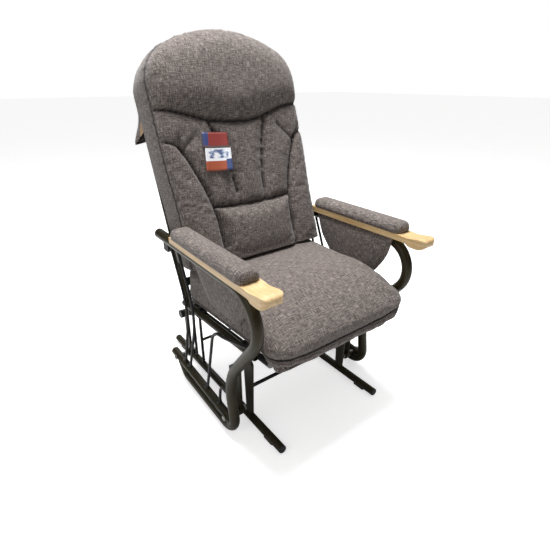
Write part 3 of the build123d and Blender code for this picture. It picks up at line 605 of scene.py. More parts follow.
# %% Back seams
HEADREST_SEAM = [(-0.262, 0.447), (-0.231, 0.443), (-0.173, 0.429), (-0.117, 0.412),
                 (-0.06, 0.402), (0, 0.399), (0.06, 0.402), (0.112, 0.416), (0.177, 0.437), (0.231, 0.446), (0.262, 0.448)]
CHANNEL_SEAM = [(0.105, 0.412), (0.096, 0.38), (0.085, 0.35), (0.072, 0.295), (0.060, 0.24),
                (0.053, 0.19), (0.050, 0.147)]
WING_SEAM = [(0.262, 0.357), (0.240, 0.350), (0.218, 0.335), (0.200, 0.300), (0.184, 0.262),
             (0.166, 0.213), (0.149, 0.148), (0.141, 0.085), (0.139, 0.025), (0.138, -0.045)]
LUMBAR_SEAM = [(-0.149, 0.146), (-0.07, 0.141), (0, 0.140), (0.07, 0.141), (0.149, 0.146)]
TUCKS = [[(-0.214, 0.326), (-0.213, 0.343), (-0.212, 0.362)],
         [(-0.208, 0.322), (-0.19, 0.339), (-0.168, 0.356)],
         [(0.206, 0.325), (0.18, 0.352), (0.150, 0.384)],
         [(0.214, 0.334), (0.228, 0.352), (0.244, 0.376)]]


def mirrored(line):
    """The same line on the other side."""
    return [(-x, y) for x, y in line]


seam_lines = [HEADREST_SEAM, CHANNEL_SEAM, mirrored(CHANNEL_SEAM), WING_SEAM, mirrored(WING_SEAM),
              LUMBAR_SEAM]
seams = [curved(line) for line in seam_lines]
tucks = [curved(line, 4) for line in TUCKS]
print(len(seams), "seams and", len(tucks), "tucks")

# %% Back cushion mesh
BACK_COLS, BACK_ROWS = 97, 121
BACK_FACE, BACK_EDGE = 0.130, 0.106
u, v = back_plan(BACK_COLS, BACK_ROWS, -0.03)
flat = np.stack([u.ravel(), v.ravel()], 1)
inside = np.ones((BACK_ROWS, BACK_COLS), bool)
inside[0] = inside[-1] = False
inside[:, 0] = inside[:, -1] = False
inside = inside.ravel()
SNAP = 0.0031
for line in seams:
    gap, near = distance_to(flat, line)
    caught = (gap < SNAP) & inside
    flat[caught] = near[caught]
seam_gap = np.min([distance_to(flat, line)[0] for line in seams], axis=0)
tuck_gap = np.min([distance_to(flat, line)[0] for line in tucks], axis=0)
rim = rim_of(BACK_ROWS, BACK_COLS)
outline = np.concatenate([flat[rim], flat[rim[:1]]])
rim_top = outline[BACK_COLS - 1:]
edge_gap = distance_to(flat, rim_top)[0]
u, v = flat[:, 0], flat[:, 1]
seam_level = np.interp(u, *np.array(sorted(map(tuple, seams[0]))).T)
over = v - seam_level
wing_edge = np.interp(v, *np.array(sorted((y, x) for x, y in seams[3])).T)
in_head = over > 0
in_wing = (np.abs(u) > wing_edge) & (v < 0.357) & ~in_head
in_lumbar = (v < 0.143) & ~in_wing
swell = np.where(in_head, 0.0, np.where(in_wing, 0.010, np.where(in_lumbar, 0.019, 0.006)))
roll = np.where(in_lumbar, 0.055, 0.030)
depth = (BACK_EDGE + (BACK_FACE - BACK_EDGE) * quarter(edge_gap / 0.038)
         - 0.003 * np.exp(-edge_gap / 0.004))
depth += swell * quarter(seam_gap / roll) * quarter(edge_gap / 0.05)
depth += in_head * 0.036 * quarter(over / 0.07) * quarter(edge_gap / 0.11)
depth -= 0.008 * np.exp(-(seam_gap / 0.008) ** 2) * quarter(edge_gap / 0.03)
depth -= 0.006 * np.exp(-(seam_gap / 0.0025) ** 2) * quarter(edge_gap / 0.02)
depth -= 0.008 * np.exp(-(tuck_gap / 0.005) ** 2)
shape = (BACK_ROWS, BACK_COLS)
u, v, depth = u.reshape(shape), v.reshape(shape), depth.reshape(shape)
count = len(rim)
rim_depth = depth.ravel()[rim]
at_foot = np.arange(count) < BACK_COLS


def foot_or(value, foot):
    """A wall value everywhere but along the foot, where the cushion is cut by the seat."""
    return np.where(at_foot, foot, value)


BACK_NEAR_SEAM = 0.965
BACK_STEPS = (0.90, 0.78, 0.64, 0.5, 0.35, 0.2, 0.08)
back_rings = [(foot_or(0.0038, 0.0), rim_depth * BACK_NEAR_SEAM)]
back_rings += [(foot_or(0.0060 * math.sin(share * math.pi) ** 0.4, 0.0), rim_depth * share)
               for share in BACK_STEPS]
back_rings += [(foot_or(0.001, 0.0), np.full(count, 0.0))]
back, back_loops, back_points = stuffed("back_cushion_cover", u, v, depth, back_rings,
                                        np.zeros(shape), back_place)
print("back cushion seams sunk; deepest face", round(float(depth.max()), 4))

# %% Cut the back's foot level with the seat
FOOT_GAP = 0.001
co = np.array([p.co for p in back.data.vertices])
lift = np.maximum(back_low.z + FOOT_GAP - co[:, 2], 0)
co[:, 2] += lift
back.data.vertices.foreach_set("co", co.astype(np.float32).ravel())
grid_size = BACK_COLS * BACK_ROWS
weights = np.ones(len(co))
held = np.exp(-(np.minimum(seam_gap, tuck_gap * 1.4) / 0.004) ** 2)
free = 1 - held
free *= smooth(edge_gap / 0.012)
weights[:grid_size] = 1 - free
weights[:BACK_COLS * 3] = 1
for loop in back_loops[2:-1]:
    weights[loop] = np.where(at_foot, 1, 0.4)
cloth_pins(back, weights)
# Painted shade: how strongly the tweed is darkened along the back's seams, tucks and boxing seam.
back_shade = np.zeros(len(co))
back_shade[:grid_size] = np.maximum(np.exp(-(seam_gap / 0.0032) ** 2),
                                    0.8 * np.exp(-(tuck_gap / 0.003) ** 2))
back_shade[:grid_size] *= quarter(edge_gap / 0.004)
back_shade[rim] = np.where(at_foot, 0.0, 1.0)
grid_size_back, at_foot_back = grid_size, at_foot
back_edge_points = np.stack([u.ravel()[rim], v.ravel()[rim]], 1)
shade_seams(back, back_shade)
print("held points", int((weights > 0.5).sum()))

# %% [markdown]
# ## The seat cushion
# The seat is a thick slab with a welted seam low on its front. Below the seam a looser
# skirt hangs over the front of the deck. Its plan is a rectangle with round corners, which
# a grid fills if its corner cells are bent onto a quarter disc.


# %% Rounded rectangle plan
def rounded_plan(cols, rows, x0, x1, y0, y1, front_round, rear_round):
    """A grid over a rectangle with rounded corners; y0 is the front."""
    s, t = np.meshgrid(np.linspace(x0, x1, cols), np.linspace(y0, y1, rows))
    u, v = s.copy(), t.copy()
    for sx in (-1, 1):
        for sy, radius in ((-1, front_round), (1, rear_round)):
            cx = (x1 if sx > 0 else x0) - sx * radius
            cy = (y1 if sy > 0 else y0) - sy * radius
            a = sx * (s - cx) / radius
            b = sy * (t - cy) / radius
            mask = (a > 0) & (b > 0)
            ca = a * np.sqrt(np.maximum(1 - b ** 2 / 2, 0))
            cb = b * np.sqrt(np.maximum(1 - a ** 2 / 2, 0))
            u[mask] = (cx + sx * radius * ca)[mask]
            v[mask] = (cy + sy * radius * cb)[mask]
    return u, v


def edge_distance(u, v):
    """Distance of each grid point from the grid's own outline."""
    rows, cols = u.shape
    flat = np.stack([u.ravel(), v.ravel()], 1)
    rim = rim_of(rows, cols)
    line = np.concatenate([flat[rim], flat[rim[:1]]])
    return distance_to(flat, line)[0].reshape(u.shape)


def wavy(points, scale, seed):
    """Repeatable noise from -1 to 1 at each point."""
    return np.array([noise.noise(Vector((*p[:3],)) * scale + Vector((seed, 0, 0))) for p in points])


print("plan helpers ready")

# %% Seat cushion mesh
seat_low, seat_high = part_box("seat_cushion")
FRONT_LIP_Z = 0.405
ROLL_LENGTH = 0.21
WELT_Z, CORNER_WELT_Z = 0.3625, 0.371
u, v = rounded_plan(91, 89, seat_low.x, seat_high.x, seat_low.y, seat_high.y, 0.050, 0.02)


def seat_profile(y):
    """The seat's top falls away towards its front."""
    x = np.clip((y - seat_low.y) / ROLL_LENGTH, 0, 1)
    return FRONT_LIP_Z + (seat_high.z - FRONT_LIP_Z) * (1 - (1 - x) ** 2)


def seat_bottom(y):
    """The underside just clears the sloping deck."""
    return 0.3645 - 0.07 * (y + 0.225)


gap = edge_distance(u, v)
side_gap = seat_high.x - np.abs(u)
crown = 0.010 * smooth(gap / 0.20)
top = (seat_profile(v) - 0.016 * (1 - quarter(side_gap / 0.045))
       - 0.006 * (1 - quarter(gap / 0.012)) + crown)
rim = rim_of(*u.shape)
edge = np.stack([u.ravel()[rim], v.ravel()[rim]], 1)
count = len(rim)
edge_z = top.ravel()[rim]
front_share = 1 - smooth((edge[:, 1] - seat_low.y - 0.02) / 0.07)
welt_front = WELT_Z + (CORNER_WELT_Z - WELT_Z) * smooth((np.abs(edge[:, 0]) - 0.13) / 0.09)
welt_z = seat_bottom(edge[:, 1]) + 0.013
welt_z += (welt_front - welt_z) * front_share
SKIRT_BEHIND = 0.040
hem = seat_low.z + 0.003 + 0.016 * smooth((np.abs(edge[:, 0]) - 0.12) / 0.12)
low_z = seat_bottom(edge[:, 1])
low_z += (hem - low_z) * (1 - smooth((edge[:, 1] - (seat_low.y + SKIRT_BEHIND)) / 0.03))
ripple = wavy(np.column_stack([edge, np.zeros(count)]), 30.0, 3.1)
slow_ripple = wavy(np.column_stack([edge, np.zeros(count)]), 9.0, 8.4)
SEAT_WALL = [(0.0035, 0.0, 0.07), (0.005, 0.0, 0.24), (0.005, 0.0005, 0.45), (0.0035, 0.004, 0.67),
             (0.0005, 0.0055, 0.86), (-0.0035, 0.002, 0.965), (-0.004, 0.0, 1.0)]
seat_rings = [(side_offset + (front_offset - side_offset) * front_share,
               edge_z + (welt_z - edge_z) * share)
              for front_offset, side_offset, share in SEAT_WALL]
WELT = [(-0.0005, 0.0012), (0.0018, 0.0030), (0.0018, 0.0050), (-0.001, 0.0066),
        (-0.0045, 0.0078)]
seat_rings += [(np.full(count, offset), welt_z - fall) for offset, fall in WELT]
hang = np.maximum(welt_z - WELT[-1][1] - low_z, 0.001)
SKIRT = [(0.0005, 0.12), (0.003, 0.32), (0.003, 0.55), (0.0, 0.78), (-0.004, 0.93),
         (-0.010, 1.0)]
for offset, share in SKIRT:
    loose = (0.0030 * ripple + 0.0035 * slow_ripple) * front_share * (0.4 + share)
    seat_rings.append((offset + loose - 0.003, welt_z - WELT[-1][1] - hang * share))
under_flat = seat_bottom(v)
under_front = 1 - smooth((v - (seat_low.y + SKIRT_BEHIND - 0.012)) / 0.010)
under = under_flat + (seat_low.z + 0.006 - under_flat) * under_front
seat, seat_loops, seat_points = stuffed("seat_cushion_cover", u, v, top, seat_rings, under,
                                        upright_place)
weights = np.ones(len(seat_points))
grid_size = u.size
weights[:grid_size] = 0.0
for loop in seat_loops[1:5]:
    weights[loop] = 0.75 - 0.6 * front_share
weights[seat_loops[5]] = 0.6
for loop in seat_loops[14:17]:
    weights[loop] = 0.6
cloth_pins(seat, weights)
# Painted shade: the rings just above and below the welt are darkened.
seat_shade = np.zeros(len(seat_points))
for k in (6, 7, 8, 11, 12):
    seat_shade[seat_loops[k]] = 0.75
seat_shade[seat_loops[7]] = 1.0
seat_shade[seat_loops[12]] = 1.0
shade_seams(seat, seat_shade)
seat_edge_points = edge
print("seat cushion", tuple(round(x, 3) for x in seat_low), tuple(round(x, 3) for x in seat_high))

# %% [markdown]
# ## Arm pads and side panels
# Each arm has a long firm pad on its board. Inside each side tube hangs a thin quilted
# panel whose rear edge is cut away in steps so that it clears the back. Both are made once
# for the left side and mirrored for the right.


# %% Arm pads
def mirror_piece(made, name):
    """A copy on the other side, its faces turned so that they still look outwards."""
    mesh = made.data.copy()
    twin = bpy.data.objects.new(name, mesh)
    scene.collection.objects.link(twin)
    co = np.array([p.co for p in mesh.vertices])
    co[:, 0] *= -1
    mesh.vertices.foreach_set("co", co.astype(np.float32).ravel())
    mesh.flip_normals()
    mesh.update()
    for group in made.vertex_groups:
        twin.vertex_groups.new(name=group.name)
    return twin


pad_low, pad_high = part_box("arm_pad_left")
u, v = rounded_plan(25, 95, pad_low.x, pad_high.x, pad_low.y, pad_high.y, 0.022, 0.020)
gap = edge_distance(u, v)
PAD_EDGE = 0.016
top = (pad_high.z - PAD_EDGE + (PAD_EDGE - 0.003) * quarter(gap / 0.015)
       + 0.004 * smooth(gap / 0.032))
count = len(rim_of(*u.shape))
pad_height = pad_high.z - PAD_EDGE - pad_low.z
PAD_STEPS = (0.12, 0.3, 0.5, 0.7, 0.88, 1.0)
pad_rings = [(np.full(count, 0.0022 * math.sin(share * math.pi) - 0.0015 * share),
              np.full(count, pad_low.z + pad_height * (1 - share))) for share in PAD_STEPS]
pad, pad_loops, pad_points = stuffed("arm_pad_left_cover", u, v, top, pad_rings,
                                     np.full(u.shape, pad_low.z), upright_place)
weights = np.ones(len(pad_points))
weights[:u.size] = 0.0
for loop in pad_loops[1:5]:
    weights[loop] = 0.3
cloth_pins(pad, weights)
print("arm pad", round(pad_high.y - pad_low.y, 3), "long")

# %% Side panels
panel_low, panel_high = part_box("side_panel_left")
PANEL_REAR = np.array([(panel_low.z, -0.066), (0.412, -0.055), (0.430, -0.035),
                       (0.470, 0.002), (0.492, 0.020), (0.52, 0.032), (panel_high.z, 0.047)])
PANEL_FRONT = np.array([(panel_low.z, -0.200), (0.408, -0.212), (0.418, -0.223),
                        (0.444, -0.244), (0.479, -0.267), (0.507, -0.280), (0.545, -0.289), (panel_high.z, panel_low.y)])
s, t = np.meshgrid(np.linspace(0, 1, 63), np.linspace(0, 1, 39))
z = panel_low.z + (panel_high.z - panel_low.z) * t
front = np.interp(z, *PANEL_FRONT.T)
rear = np.interp(z, *PANEL_REAR.T)
y = front + (rear - front) * s
gap = edge_distance(y, z)
middle_x = (panel_low.x + panel_high.x) / 2
half = (panel_high.x - panel_low.x) / 2 - 0.001
face = middle_x + 0.001 + (half - 0.001) * quarter(gap / 0.03)
back_face = middle_x - 0.001 - (half - 0.001) * quarter(gap / 0.03)
count = len(rim_of(*y.shape))
panel_rings = [(np.full(count, 0.001), np.full(count, middle_x)),
               (np.full(count, 0.0), np.full(count, middle_x - 0.001))]


def side_place(u, v, d):
    """Plan in Y and Z, depth in X."""
    return (d, u, v)


panel, panel_loops, panel_points = stuffed("side_panel_left_cover", y, z, face, panel_rings,
                                           back_face, side_place)
weights = np.zeros(len(panel_points))
for loop in panel_loops:
    weights[loop] = 1.0
cloth_pins(panel, weights)
print("side panel", round(panel_high.x - panel_low.x, 4), "thick")

# %% [markdown]
# ## Filling the cushions
# All the pieces are simulated together. Pressure swells the cloth, pins hold the seams, and
# a cap keeps every point near where it started, so the pieces stay the size that the frame
# expects. Then one level of subdivision smooths the result.


# %% Cloth simulation
def inflate(pieces, last_frame=20):
    """Blow the pieces up together and write the result into their meshes. Each piece has its
    pressure, the cap on how far a point may move, and its slack, below 0 for spare cloth."""
    start = {}
    for made, (pressure, cap, slack) in pieces.items():
        start[made] = np.array([p.co for p in made.data.vertices])
        cloth = made.modifiers.new("filling", "CLOTH")
        settings = cloth.settings
        settings.quality = 4
        settings.mass = 0.25
        settings.tension_stiffness = 12
        settings.compression_stiffness = 12
        settings.shear_stiffness = 5
        settings.bending_stiffness = 0.4
        settings.use_pressure = True
        settings.uniform_pressure_force = pressure
        settings.shrink_min = slack
        settings.vertex_group_mass = "held"
        settings.effector_weights.gravity = 0
        cloth.collision_settings.use_collision = False
        cloth.collision_settings.use_self_collision = False
        cloth.point_cache.frame_start = 1
        cloth.point_cache.frame_end = last_frame
    for step in range(1, last_frame + 1):
        scene.frame_set(step)
    graph = bpy.context.evaluated_depsgraph_get()
    for made, (_, cap, _) in pieces.items():
        shaped = made.evaluated_get(graph)
        moved = np.array([p.co for p in shaped.data.vertices]) - start[made]
        length = np.linalg.norm(moved, axis=1)
        moved *= (np.tanh(length / cap) * cap / np.maximum(length, 1e-9))[:, None]
        made.modifiers.clear()
        made.data.vertices.foreach_set("co", (start[made] + moved).astype(np.float32).ravel())
        made.data.update()
        swell = round(float(length.max()) * 1000, 1)
        print(made.name, "swelled by up to", swell, "mm, kept within", cap * 1000)
    scene.frame_set(1)


inflate({back: (3.5, 0.009, -0.012), seat: (3.0, 0.006, -0.01), pad: (2.0, 0.003, 0.0),
         panel: (1.5, 0.003, 0.0)})


# %% [markdown]
# Cloth gathers where it is sewn. Small creases run square to the seams of the boxing, close
# together and fading out within a few centimetres. They are real relief, so they are moved
# points and not only shading.


# %% Gathers beside the seams
def pucker(made, anchors, near, amount, spacing, reach, seed):
    """Creases square to a seam. anchors are each point's nearest place on its seam, so the
    crease keeps its height on the way out, and near is the distance, over which it fades."""
    mesh = made.data
    normals = np.zeros(len(mesh.vertices) * 3)
    mesh.vertices.foreach_get("normal", normals)
    co = np.array([p.co for p in mesh.vertices])
    wave = wavy(anchors, 1.0 / spacing, seed) + 0.5 * wavy(anchors, 2.3 / spacing, seed + 7)
    co += normals.reshape(-1, 3) * (wave * np.exp(-near / reach) * amount)[:, None]
    mesh.vertices.foreach_set("co", co.astype(np.float32).ravel())
    mesh.update()


def plan_anchor(points, loops, rim_points):
    """Anchors for wall rings: the rim point that each ring point hangs from."""
    made = np.column_stack([points[:, :2], np.zeros(len(points))])
    for loop in loops:
        made[loop, :2] = rim_points
    return made


total = len(back.data.vertices)
flat_back = back_points[:, :2].copy()
near_seam, anchor_seam = np.full(total, 0.5), back_points * (1, 1, 0)
for line in seams:
    gap, near = distance_to(flat_back[:grid_size_back], line)
    closer = gap < near_seam[:grid_size_back]
    near_seam[:grid_size_back][closer] = gap[closer]
    anchor_seam[:grid_size_back, :2][closer] = near[closer]
pucker(back, anchor_seam, near_seam, 0.0016, 0.011, 0.012, 5.0)
gap, near = distance_to(flat_back[:grid_size_back], rim_top)
edge_anchor = plan_anchor(back_points, back_loops, back_edge_points)
edge_anchor[:grid_size_back, :2] = near
edge_near = np.full(total, 0.5)
edge_near[:grid_size_back] = gap + 0.002
for loop, share in zip(back_loops[1:-1], (BACK_NEAR_SEAM, *BACK_STEPS)):
    edge_near[loop] = np.where(at_foot_back, 0.5, 0.105 * (1 - share) * 0.6)
pucker(back, edge_anchor, edge_near, 0.0030, 0.012, 0.014, 15.0)
seat_anchor = plan_anchor(seat_points, seat_loops, seat_edge_points)
seat_near = np.full(len(seat.data.vertices), 0.2)
for loop, (*_, share) in zip(seat_loops[1:8], SEAT_WALL):
    seat_near[loop] = 0.04 * (1 - share)
for loop, (_, share) in zip(seat_loops[13:], SKIRT):
    seat_near[loop] = 0.03 * share
pucker(seat, seat_anchor, seat_near, 0.0022, 0.009, 0.022, 9.0)
print("gathers added")


# %% [markdown]
# Stitches are the same tiny shape hundreds of times, which is work for Geometry Nodes. The
# group takes a line of points, resamples it, puts a short rod at each place along the line's
# own direction, and turns the lot into one plain mesh. The line itself is one ring of the
# cushion's wall, lifted off the cloth by a little less than the thread's own radius.

# %% A row of stitches from a line
def stitch_group():
    """Node group: Spacing, Length and Radius in metres, and the thread's material."""
    group = bpy.data.node_groups.new("row_of_stitches", "GeometryNodeTree")
    face = group.interface
    face.new_socket("Geometry", in_out="INPUT", socket_type="NodeSocketGeometry")
    for name in ("Spacing", "Length", "Radius"):
        face.new_socket(name, in_out="INPUT", socket_type="NodeSocketFloat")
    face.new_socket("Thread", in_out="INPUT", socket_type="NodeSocketMaterial")
    face.new_socket("Geometry", in_out="OUTPUT", socket_type="NodeSocketGeometry")
    given = node(group, "NodeGroupInput").outputs
    line = node(group, "GeometryNodeMeshToCurve", {0: given["Geometry"]})
    even = node(group, "GeometryNodeResampleCurve",
                {"Curve": line.outputs[0], "Length": given["Spacing"]}, mode="LENGTH")
    rod = node(group, "GeometryNodeMeshCylinder",
               {"Vertices": 6, "Radius": given["Radius"], "Depth": given["Length"]})
    tangent = node(group, "GeometryNodeInputTangent").outputs[0]
    turn = node(group, "FunctionNodeAlignRotationToVector", {"Vector": tangent}, axis="Z")
    wobble = node(group, "FunctionNodeRandomValue", {2: 0.85, 3: 1.1, "Seed": 4})
    rods = node(group, "GeometryNodeInstanceOnPoints",
                {"Points": even.outputs[0], "Instance": rod.outputs[0],
                 "Rotation": turn.outputs[0], "Scale": wobble.outputs[1]})
    solid = node(group, "GeometryNodeRealizeInstances", {0: rods.outputs[0]})
    dyed = node(group, "GeometryNodeSetMaterial",
                {"Geometry": solid.outputs[0], "Material": given["Thread"]})
    node(group, "NodeGroupOutput", {0: dyed.outputs[0]})
    return group


def sew(name, rows, spacing=0.0052, length=0.0036, radius=0.0005):
    """One mesh of stitches along several open or closed rows of points."""
    points, edges = [], []
    for row in rows:
        edges += [(len(points) + k, len(points) + k + 1) for k in range(len(row) - 1)]
        points += [tuple(p) for p in row]
    mesh = bpy.data.meshes.new(name)
    mesh.from_pydata(points, edges, [])
    made = bpy.data.objects.new(name, mesh)
    scene.collection.objects.link(made)
    work = made.modifiers.new("stitches", "NODES")
    work.node_group = stitching
    sockets = {item.name: item.identifier for item in stitching.interface.items_tree
               if item.in_out == "INPUT"}
    given = {"Spacing": spacing, "Length": length, "Radius": radius, "Thread": looks["thread"]}
    for key, value in given.items():
        work[sockets[key]] = value
    graph = bpy.context.evaluated_depsgraph_get()
    sewn = bpy.data.meshes.new_from_object(made.evaluated_get(graph))
    made.modifiers.clear()
    made.data = sewn
    print(name, len(sewn.polygons), "faces")
    return made


def lifted(made, loop, lift=0.0004):
    """The points of one ring, moved off the cloth along its normals."""
    mesh = made.data
    return [mesh.vertices[i].co + mesh.vertices[i].normal * lift for i in loop]


stitching = stitch_group()
sides_and_top = [k for k in range(len(back_loops[2])) if not at_foot_back[k]]
back_row = lifted(back, [back_loops[2][k] for k in sides_and_top])
front_line = [k for k in range(len(seat_edge_points)) if seat_edge_points[k][1] < seat_low.y + 0.06]
first = next(k for k in front_line if k - 1 not in front_line and k > 0)
front_line = [k for k in front_line if k >= first] + [k for k in front_line if k < first]
seat_row = lifted(seat, [seat_loops[5][k] for k in front_line])
stitches = sew("chair_stitches", [back_row, seat_row])

# %% Subdivide and mirror
def finish_mesh(made, levels=1):
    """Apply one level of subdivision, so the piece is a plain mesh."""
    made.modifiers.clear()
    soften = made.modifiers.new("soften", "SUBSURF")
    soften.levels = soften.render_levels = levels
    soften.boundary_smooth = "PRESERVE_CORNERS"
    graph = bpy.context.evaluated_depsgraph_get()
    mesh = bpy.data.meshes.new_from_object(made.evaluated_get(graph))
    made.modifiers.clear()
    made.vertex_groups.clear()
    mesh.name = made.name
    made.data = mesh
    mesh.polygons.foreach_set("use_smooth", [True] * len(mesh.polygons))
    print(made.name, len(mesh.polygons), "faces")
    return made


for made in (back, seat, pad, panel):
    finish_mesh(made)
pad_right = mirror_piece(pad, "arm_pad_right_cover")
panel_right = mirror_piece(panel, "side_panel_right_cover")

# %% [markdown]
# ## The hood
# A fabric pocket behind the back cushion slips over the top of the frame and holds the
# cushion up. It is one sheet: a rear panel whose sides and top wrap forward to the cushion.
# Its lower edge is loose, and the corners stand away and droop. A grid that runs past the
# outline on three sides gives the wrap, and Solidify gives the cloth its thickness. A strip
# of tan tape is sewn inside one lower corner, where it shows past the back's edge.

# %% Hood mesh
HOOD_START, HOOD_DEPTH, HOOD_WRAP = 0.400, 0.0235, 0.20
HOOD_COLS, HOOD_ROWS = 91, 51
CORNER_SAG, CORNER_SPREAD = 0.052, 0.016
s, t = np.meshgrid(np.linspace(-1 - HOOD_WRAP, 1 + HOOD_WRAP, HOOD_COLS),
                   np.linspace(0, 1 + HOOD_WRAP * 1.4, HOOD_ROWS))
inner_s, inner_t = np.clip(s, -1, 1), np.clip(t, 0, 1)
past = np.maximum(np.abs(s) - 1, (t - 1) / 1.4) / HOOD_WRAP
u = inner_s * HALF_WIDTH * 0.999
v = HOOD_START + inner_t * (arch(u) - HOOD_START)
flat_gap = np.minimum(1 - np.abs(inner_s), 1 - inner_t)
d = (-HOOD_DEPTH + 0.010 * (1 - quarter(np.clip(flat_gap / 0.07, 0, 1)))
     + (HOOD_DEPTH - 0.006) * np.clip(past, 0, 1))
corner = np.exp(-((1 - np.abs(inner_s)) / 0.22) ** 2) * np.exp(-(inner_t / 0.30) ** 2)
loose = corner * (1 - np.clip(past, 0, 1))
v = (v + 0.018 * corner * np.clip(past, 0, 1) - 0.006 * loose
     - 0.004 * (1 - inner_t) * np.cos(inner_s * 5))
d = d - CORNER_SAG * loose
u = u + np.sign(u) * CORNER_SPREAD * loose
points = np.column_stack([u.ravel(), v.ravel(), d.ravel()])
points[:, 2] += 0.0016 * wavy(points, 22.0, 2.0)
faces, uvs = [], []
for r in range(HOOD_ROWS - 1):
    for c in range(HOOD_COLS - 1):
        a = r * HOOD_COLS + c
        quad = (a, a + HOOD_COLS, a + 1 + HOOD_COLS, a + 1)
        faces.append(quad)
        uvs += [(s.ravel()[i] * HALF_WIDTH, t.ravel()[i] * 0.27) for i in quad]
mesh = bpy.data.meshes.new("back_hood_cover")
mesh.from_pydata([back_place(*p) for p in points], [], faces)
layer = mesh.uv_layers.new(name=WEAVE_MAP)
layer.data.foreach_set("uv", np.array(uvs, float).ravel())
hood = bpy.data.objects.new("back_hood_cover", mesh)
scene.collection.objects.link(hood)
mesh.materials.append(looks["tweed"])
mesh.materials.append(shaded_hood_tweed)
mesh.materials.append(looks["tape"])
taped = (past > 0.55) & (inner_t < 0.34) & (s < 0)
mesh.polygons.foreach_set("material_index",
                          [2 if taped.ravel()[list(face)].all() else 0 for face in faces])
mesh.polygons.foreach_set("use_smooth", [True] * len(faces))
thick = hood.modifiers.new("cloth_thickness", "SOLIDIFY")
thick.thickness = 0.0018
thick.offset = -1
# The inner face takes the half-bright tweed, painted shade inside the hood.
thick.material_offset = 1
thick.material_offset_rim = 0
graph = bpy.context.evaluated_depsgraph_get()
solid = bpy.data.meshes.new_from_object(hood.evaluated_get(graph))
hood.modifiers.clear()
hood.data = solid
print("hood", len(solid.polygons), "faces")

# %% [markdown]
# ## The card tag
# A shop tag hangs on the front of the back. It is a stiff card with a slight curl, printed
# in plain blocks of colour. The blocks come from its own UV map, compared against fixed
# edges, so nothing needs a picture.


# %% Printed blocks of colour
def block(tree, across, up, x0, x1, y0, y1):
    """1 inside a rectangle of the card, 0 outside."""
    parts = [sums(tree, "GREATER_THAN", across, x0), sums(tree, "LESS_THAN", across, x1),
             sums(tree, "GREATER_THAN", up, y0), sums(tree, "LESS_THAN", up, y1)]
    made = parts[0]
    for part in parts[1:]:
        made = sums(tree, "MULTIPLY", made, part)
    return made


PAPER_WHITE = (0.86, 0.87, 0.9, 1)
BLOT_PLACE = (0.14, 0.92, 0.33, 0.56)
BLEED = 0.01
TAG_BLOCKS = [(0.0, 1.0, 0.0, 0.26, (0.40, 0.095, 0.045, 1)),
              (0.82, 1.0, 0.0, 0.30, (0.05, 0.075, 0.20, 1)),
              (0.0, 1.0, 0.645, 1.0, (0.28, 0.042, 0.036, 1)),
              (0.0, 0.22, 0.67, 1.0, (0.05, 0.07, 0.20, 1)),
              (0.0, 1.0, 0.60, 0.655, (0.12, 0.09, 0.085, 1))]


def tag_print():
    """Printed card: plain colour blocks and one soft blot."""
    made, tree, shader = new_material("printed_card", Roughness=0.4, Coat_Weight=0.3, Coat_Roughness=0.2)
    flat = node(tree, "ShaderNodeUVMap", uv_map=WEAVE_MAP).outputs[0]
    split = node(tree, "ShaderNodeSeparateXYZ", {0: flat})
    x, y = split.outputs[0], split.outputs[1]
    blob = ramp(tree, cloud(tree, stretched(tree, flat, (5.5, 9.0, 1)), 1.0, 2.0),
                [(0.44, (1, 1, 1)), (0.52, (0.42, 0.50, 0.66)), (0.60, (0.12, 0.16, 0.30))])
    colour = mixed(tree, block(tree, x, y, *BLOT_PLACE), PAPER_WHITE, blob, "MULTIPLY")
    for x0, x1, y0, y1, tint in TAG_BLOCKS:
        inside = block(tree, x, y, x0 - BLEED, x1 + BLEED, y0 - BLEED, y1)
        colour = mixed(tree, inside, colour, tint)
    fibre = cloud(tree, stretched(tree, flat, (60, 60, 1)), 1.0, 3.0)
    paper = ramp(tree, fibre, [(0.3, (0.8, 0.8, 0.8)), (0.7, (1, 1, 1))])
    tree.links.new(mixed(tree, 0.3, colour, paper, "MULTIPLY"), shader.inputs["Base Color"])
    bumped(tree, shader, fibre, 0.0001, 0.3)
    return made


looks["tag_card"] = tag_print()

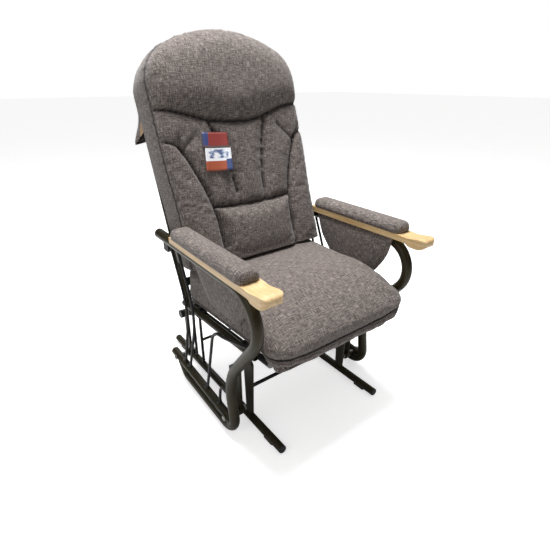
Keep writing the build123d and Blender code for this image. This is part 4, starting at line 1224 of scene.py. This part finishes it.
# %% Tag mesh
TAG_MIDDLE = (-0.109, 0.309)
TAG_WIDTH, TAG_HEIGHT, TAG_TURN, TAG_SLOPE = 0.086, 0.117, math.radians(11), math.radians(4)
TAG_COLS, TAG_ROWS = 17, 21
s, t = np.meshgrid(np.linspace(0, 1, TAG_COLS), np.linspace(0, 1, TAG_ROWS))
across, up = (s - 0.5) * TAG_WIDTH, (t - 0.5) * TAG_HEIGHT
bottom_shift = 0.006 * (t < 0.62)
across = across + bottom_shift
u = TAG_MIDDLE[0] + across * math.cos(TAG_SLOPE) + up * math.sin(TAG_TURN)
v = TAG_MIDDLE[1] - across * math.sin(TAG_SLOPE) + up * math.cos(TAG_TURN)
d = 0.1445 + 0.010 * (1 - t) * (s - 0.4) ** 2 * 4 + 0.003 * (1 - t)
points = [back_place(a, b, c) for a, b, c in zip(u.ravel(), v.ravel(), d.ravel())]
corners = [r * TAG_COLS + c for r in range(TAG_ROWS - 1) for c in range(TAG_COLS - 1)]
faces = [(i, i + 1, i + TAG_COLS + 1, i + TAG_COLS) for i in corners]
mesh = bpy.data.meshes.new("hang_tag_card")
mesh.from_pydata(points, [], faces)
layer = mesh.uv_layers.new(name=WEAVE_MAP)
layer.data.foreach_set("uv", np.array([(s.ravel()[i], t.ravel()[i]) for f in faces for i in f]).ravel())
mesh.materials.append(looks["tag_card"])
mesh.polygons.foreach_set("use_smooth", [True] * len(faces))
tag = bpy.data.objects.new("hang_tag_card", mesh)
scene.collection.objects.link(tag)
thick = tag.modifiers.new("card_thickness", "SOLIDIFY")
thick.thickness = 0.0006
graph = bpy.context.evaluated_depsgraph_get()
tag.data = bpy.data.meshes.new_from_object(tag.evaluated_get(graph))
tag.modifiers.clear()
print("tag", len(tag.data.polygons), "faces")

# %% [markdown]
# ## Each soft piece takes the place of its CAD solid
# Each soft piece rides on the gliding chair and takes the place of its plain CAD solid.

# %% Ride and replace
stands_for = {back: ("back_cushion", "tweed"), seat: ("seat_cushion", "tweed"),
              pad: ("arm_pad_left", "tweed"), pad_right: ("arm_pad_right", "tweed"),
              panel: ("side_panel_left", "tweed"), panel_right: ("side_panel_right", "tweed"),
              hood: ("back_hood", "tweed"), tag: ("hang_tag", "tag_card")}
for made, (cad_node, slot_name) in stands_for.items():
    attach(made, "chair")
    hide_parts(cad_node)
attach(stitches, "chair")
print(len(stands_for), "soft pieces declared")
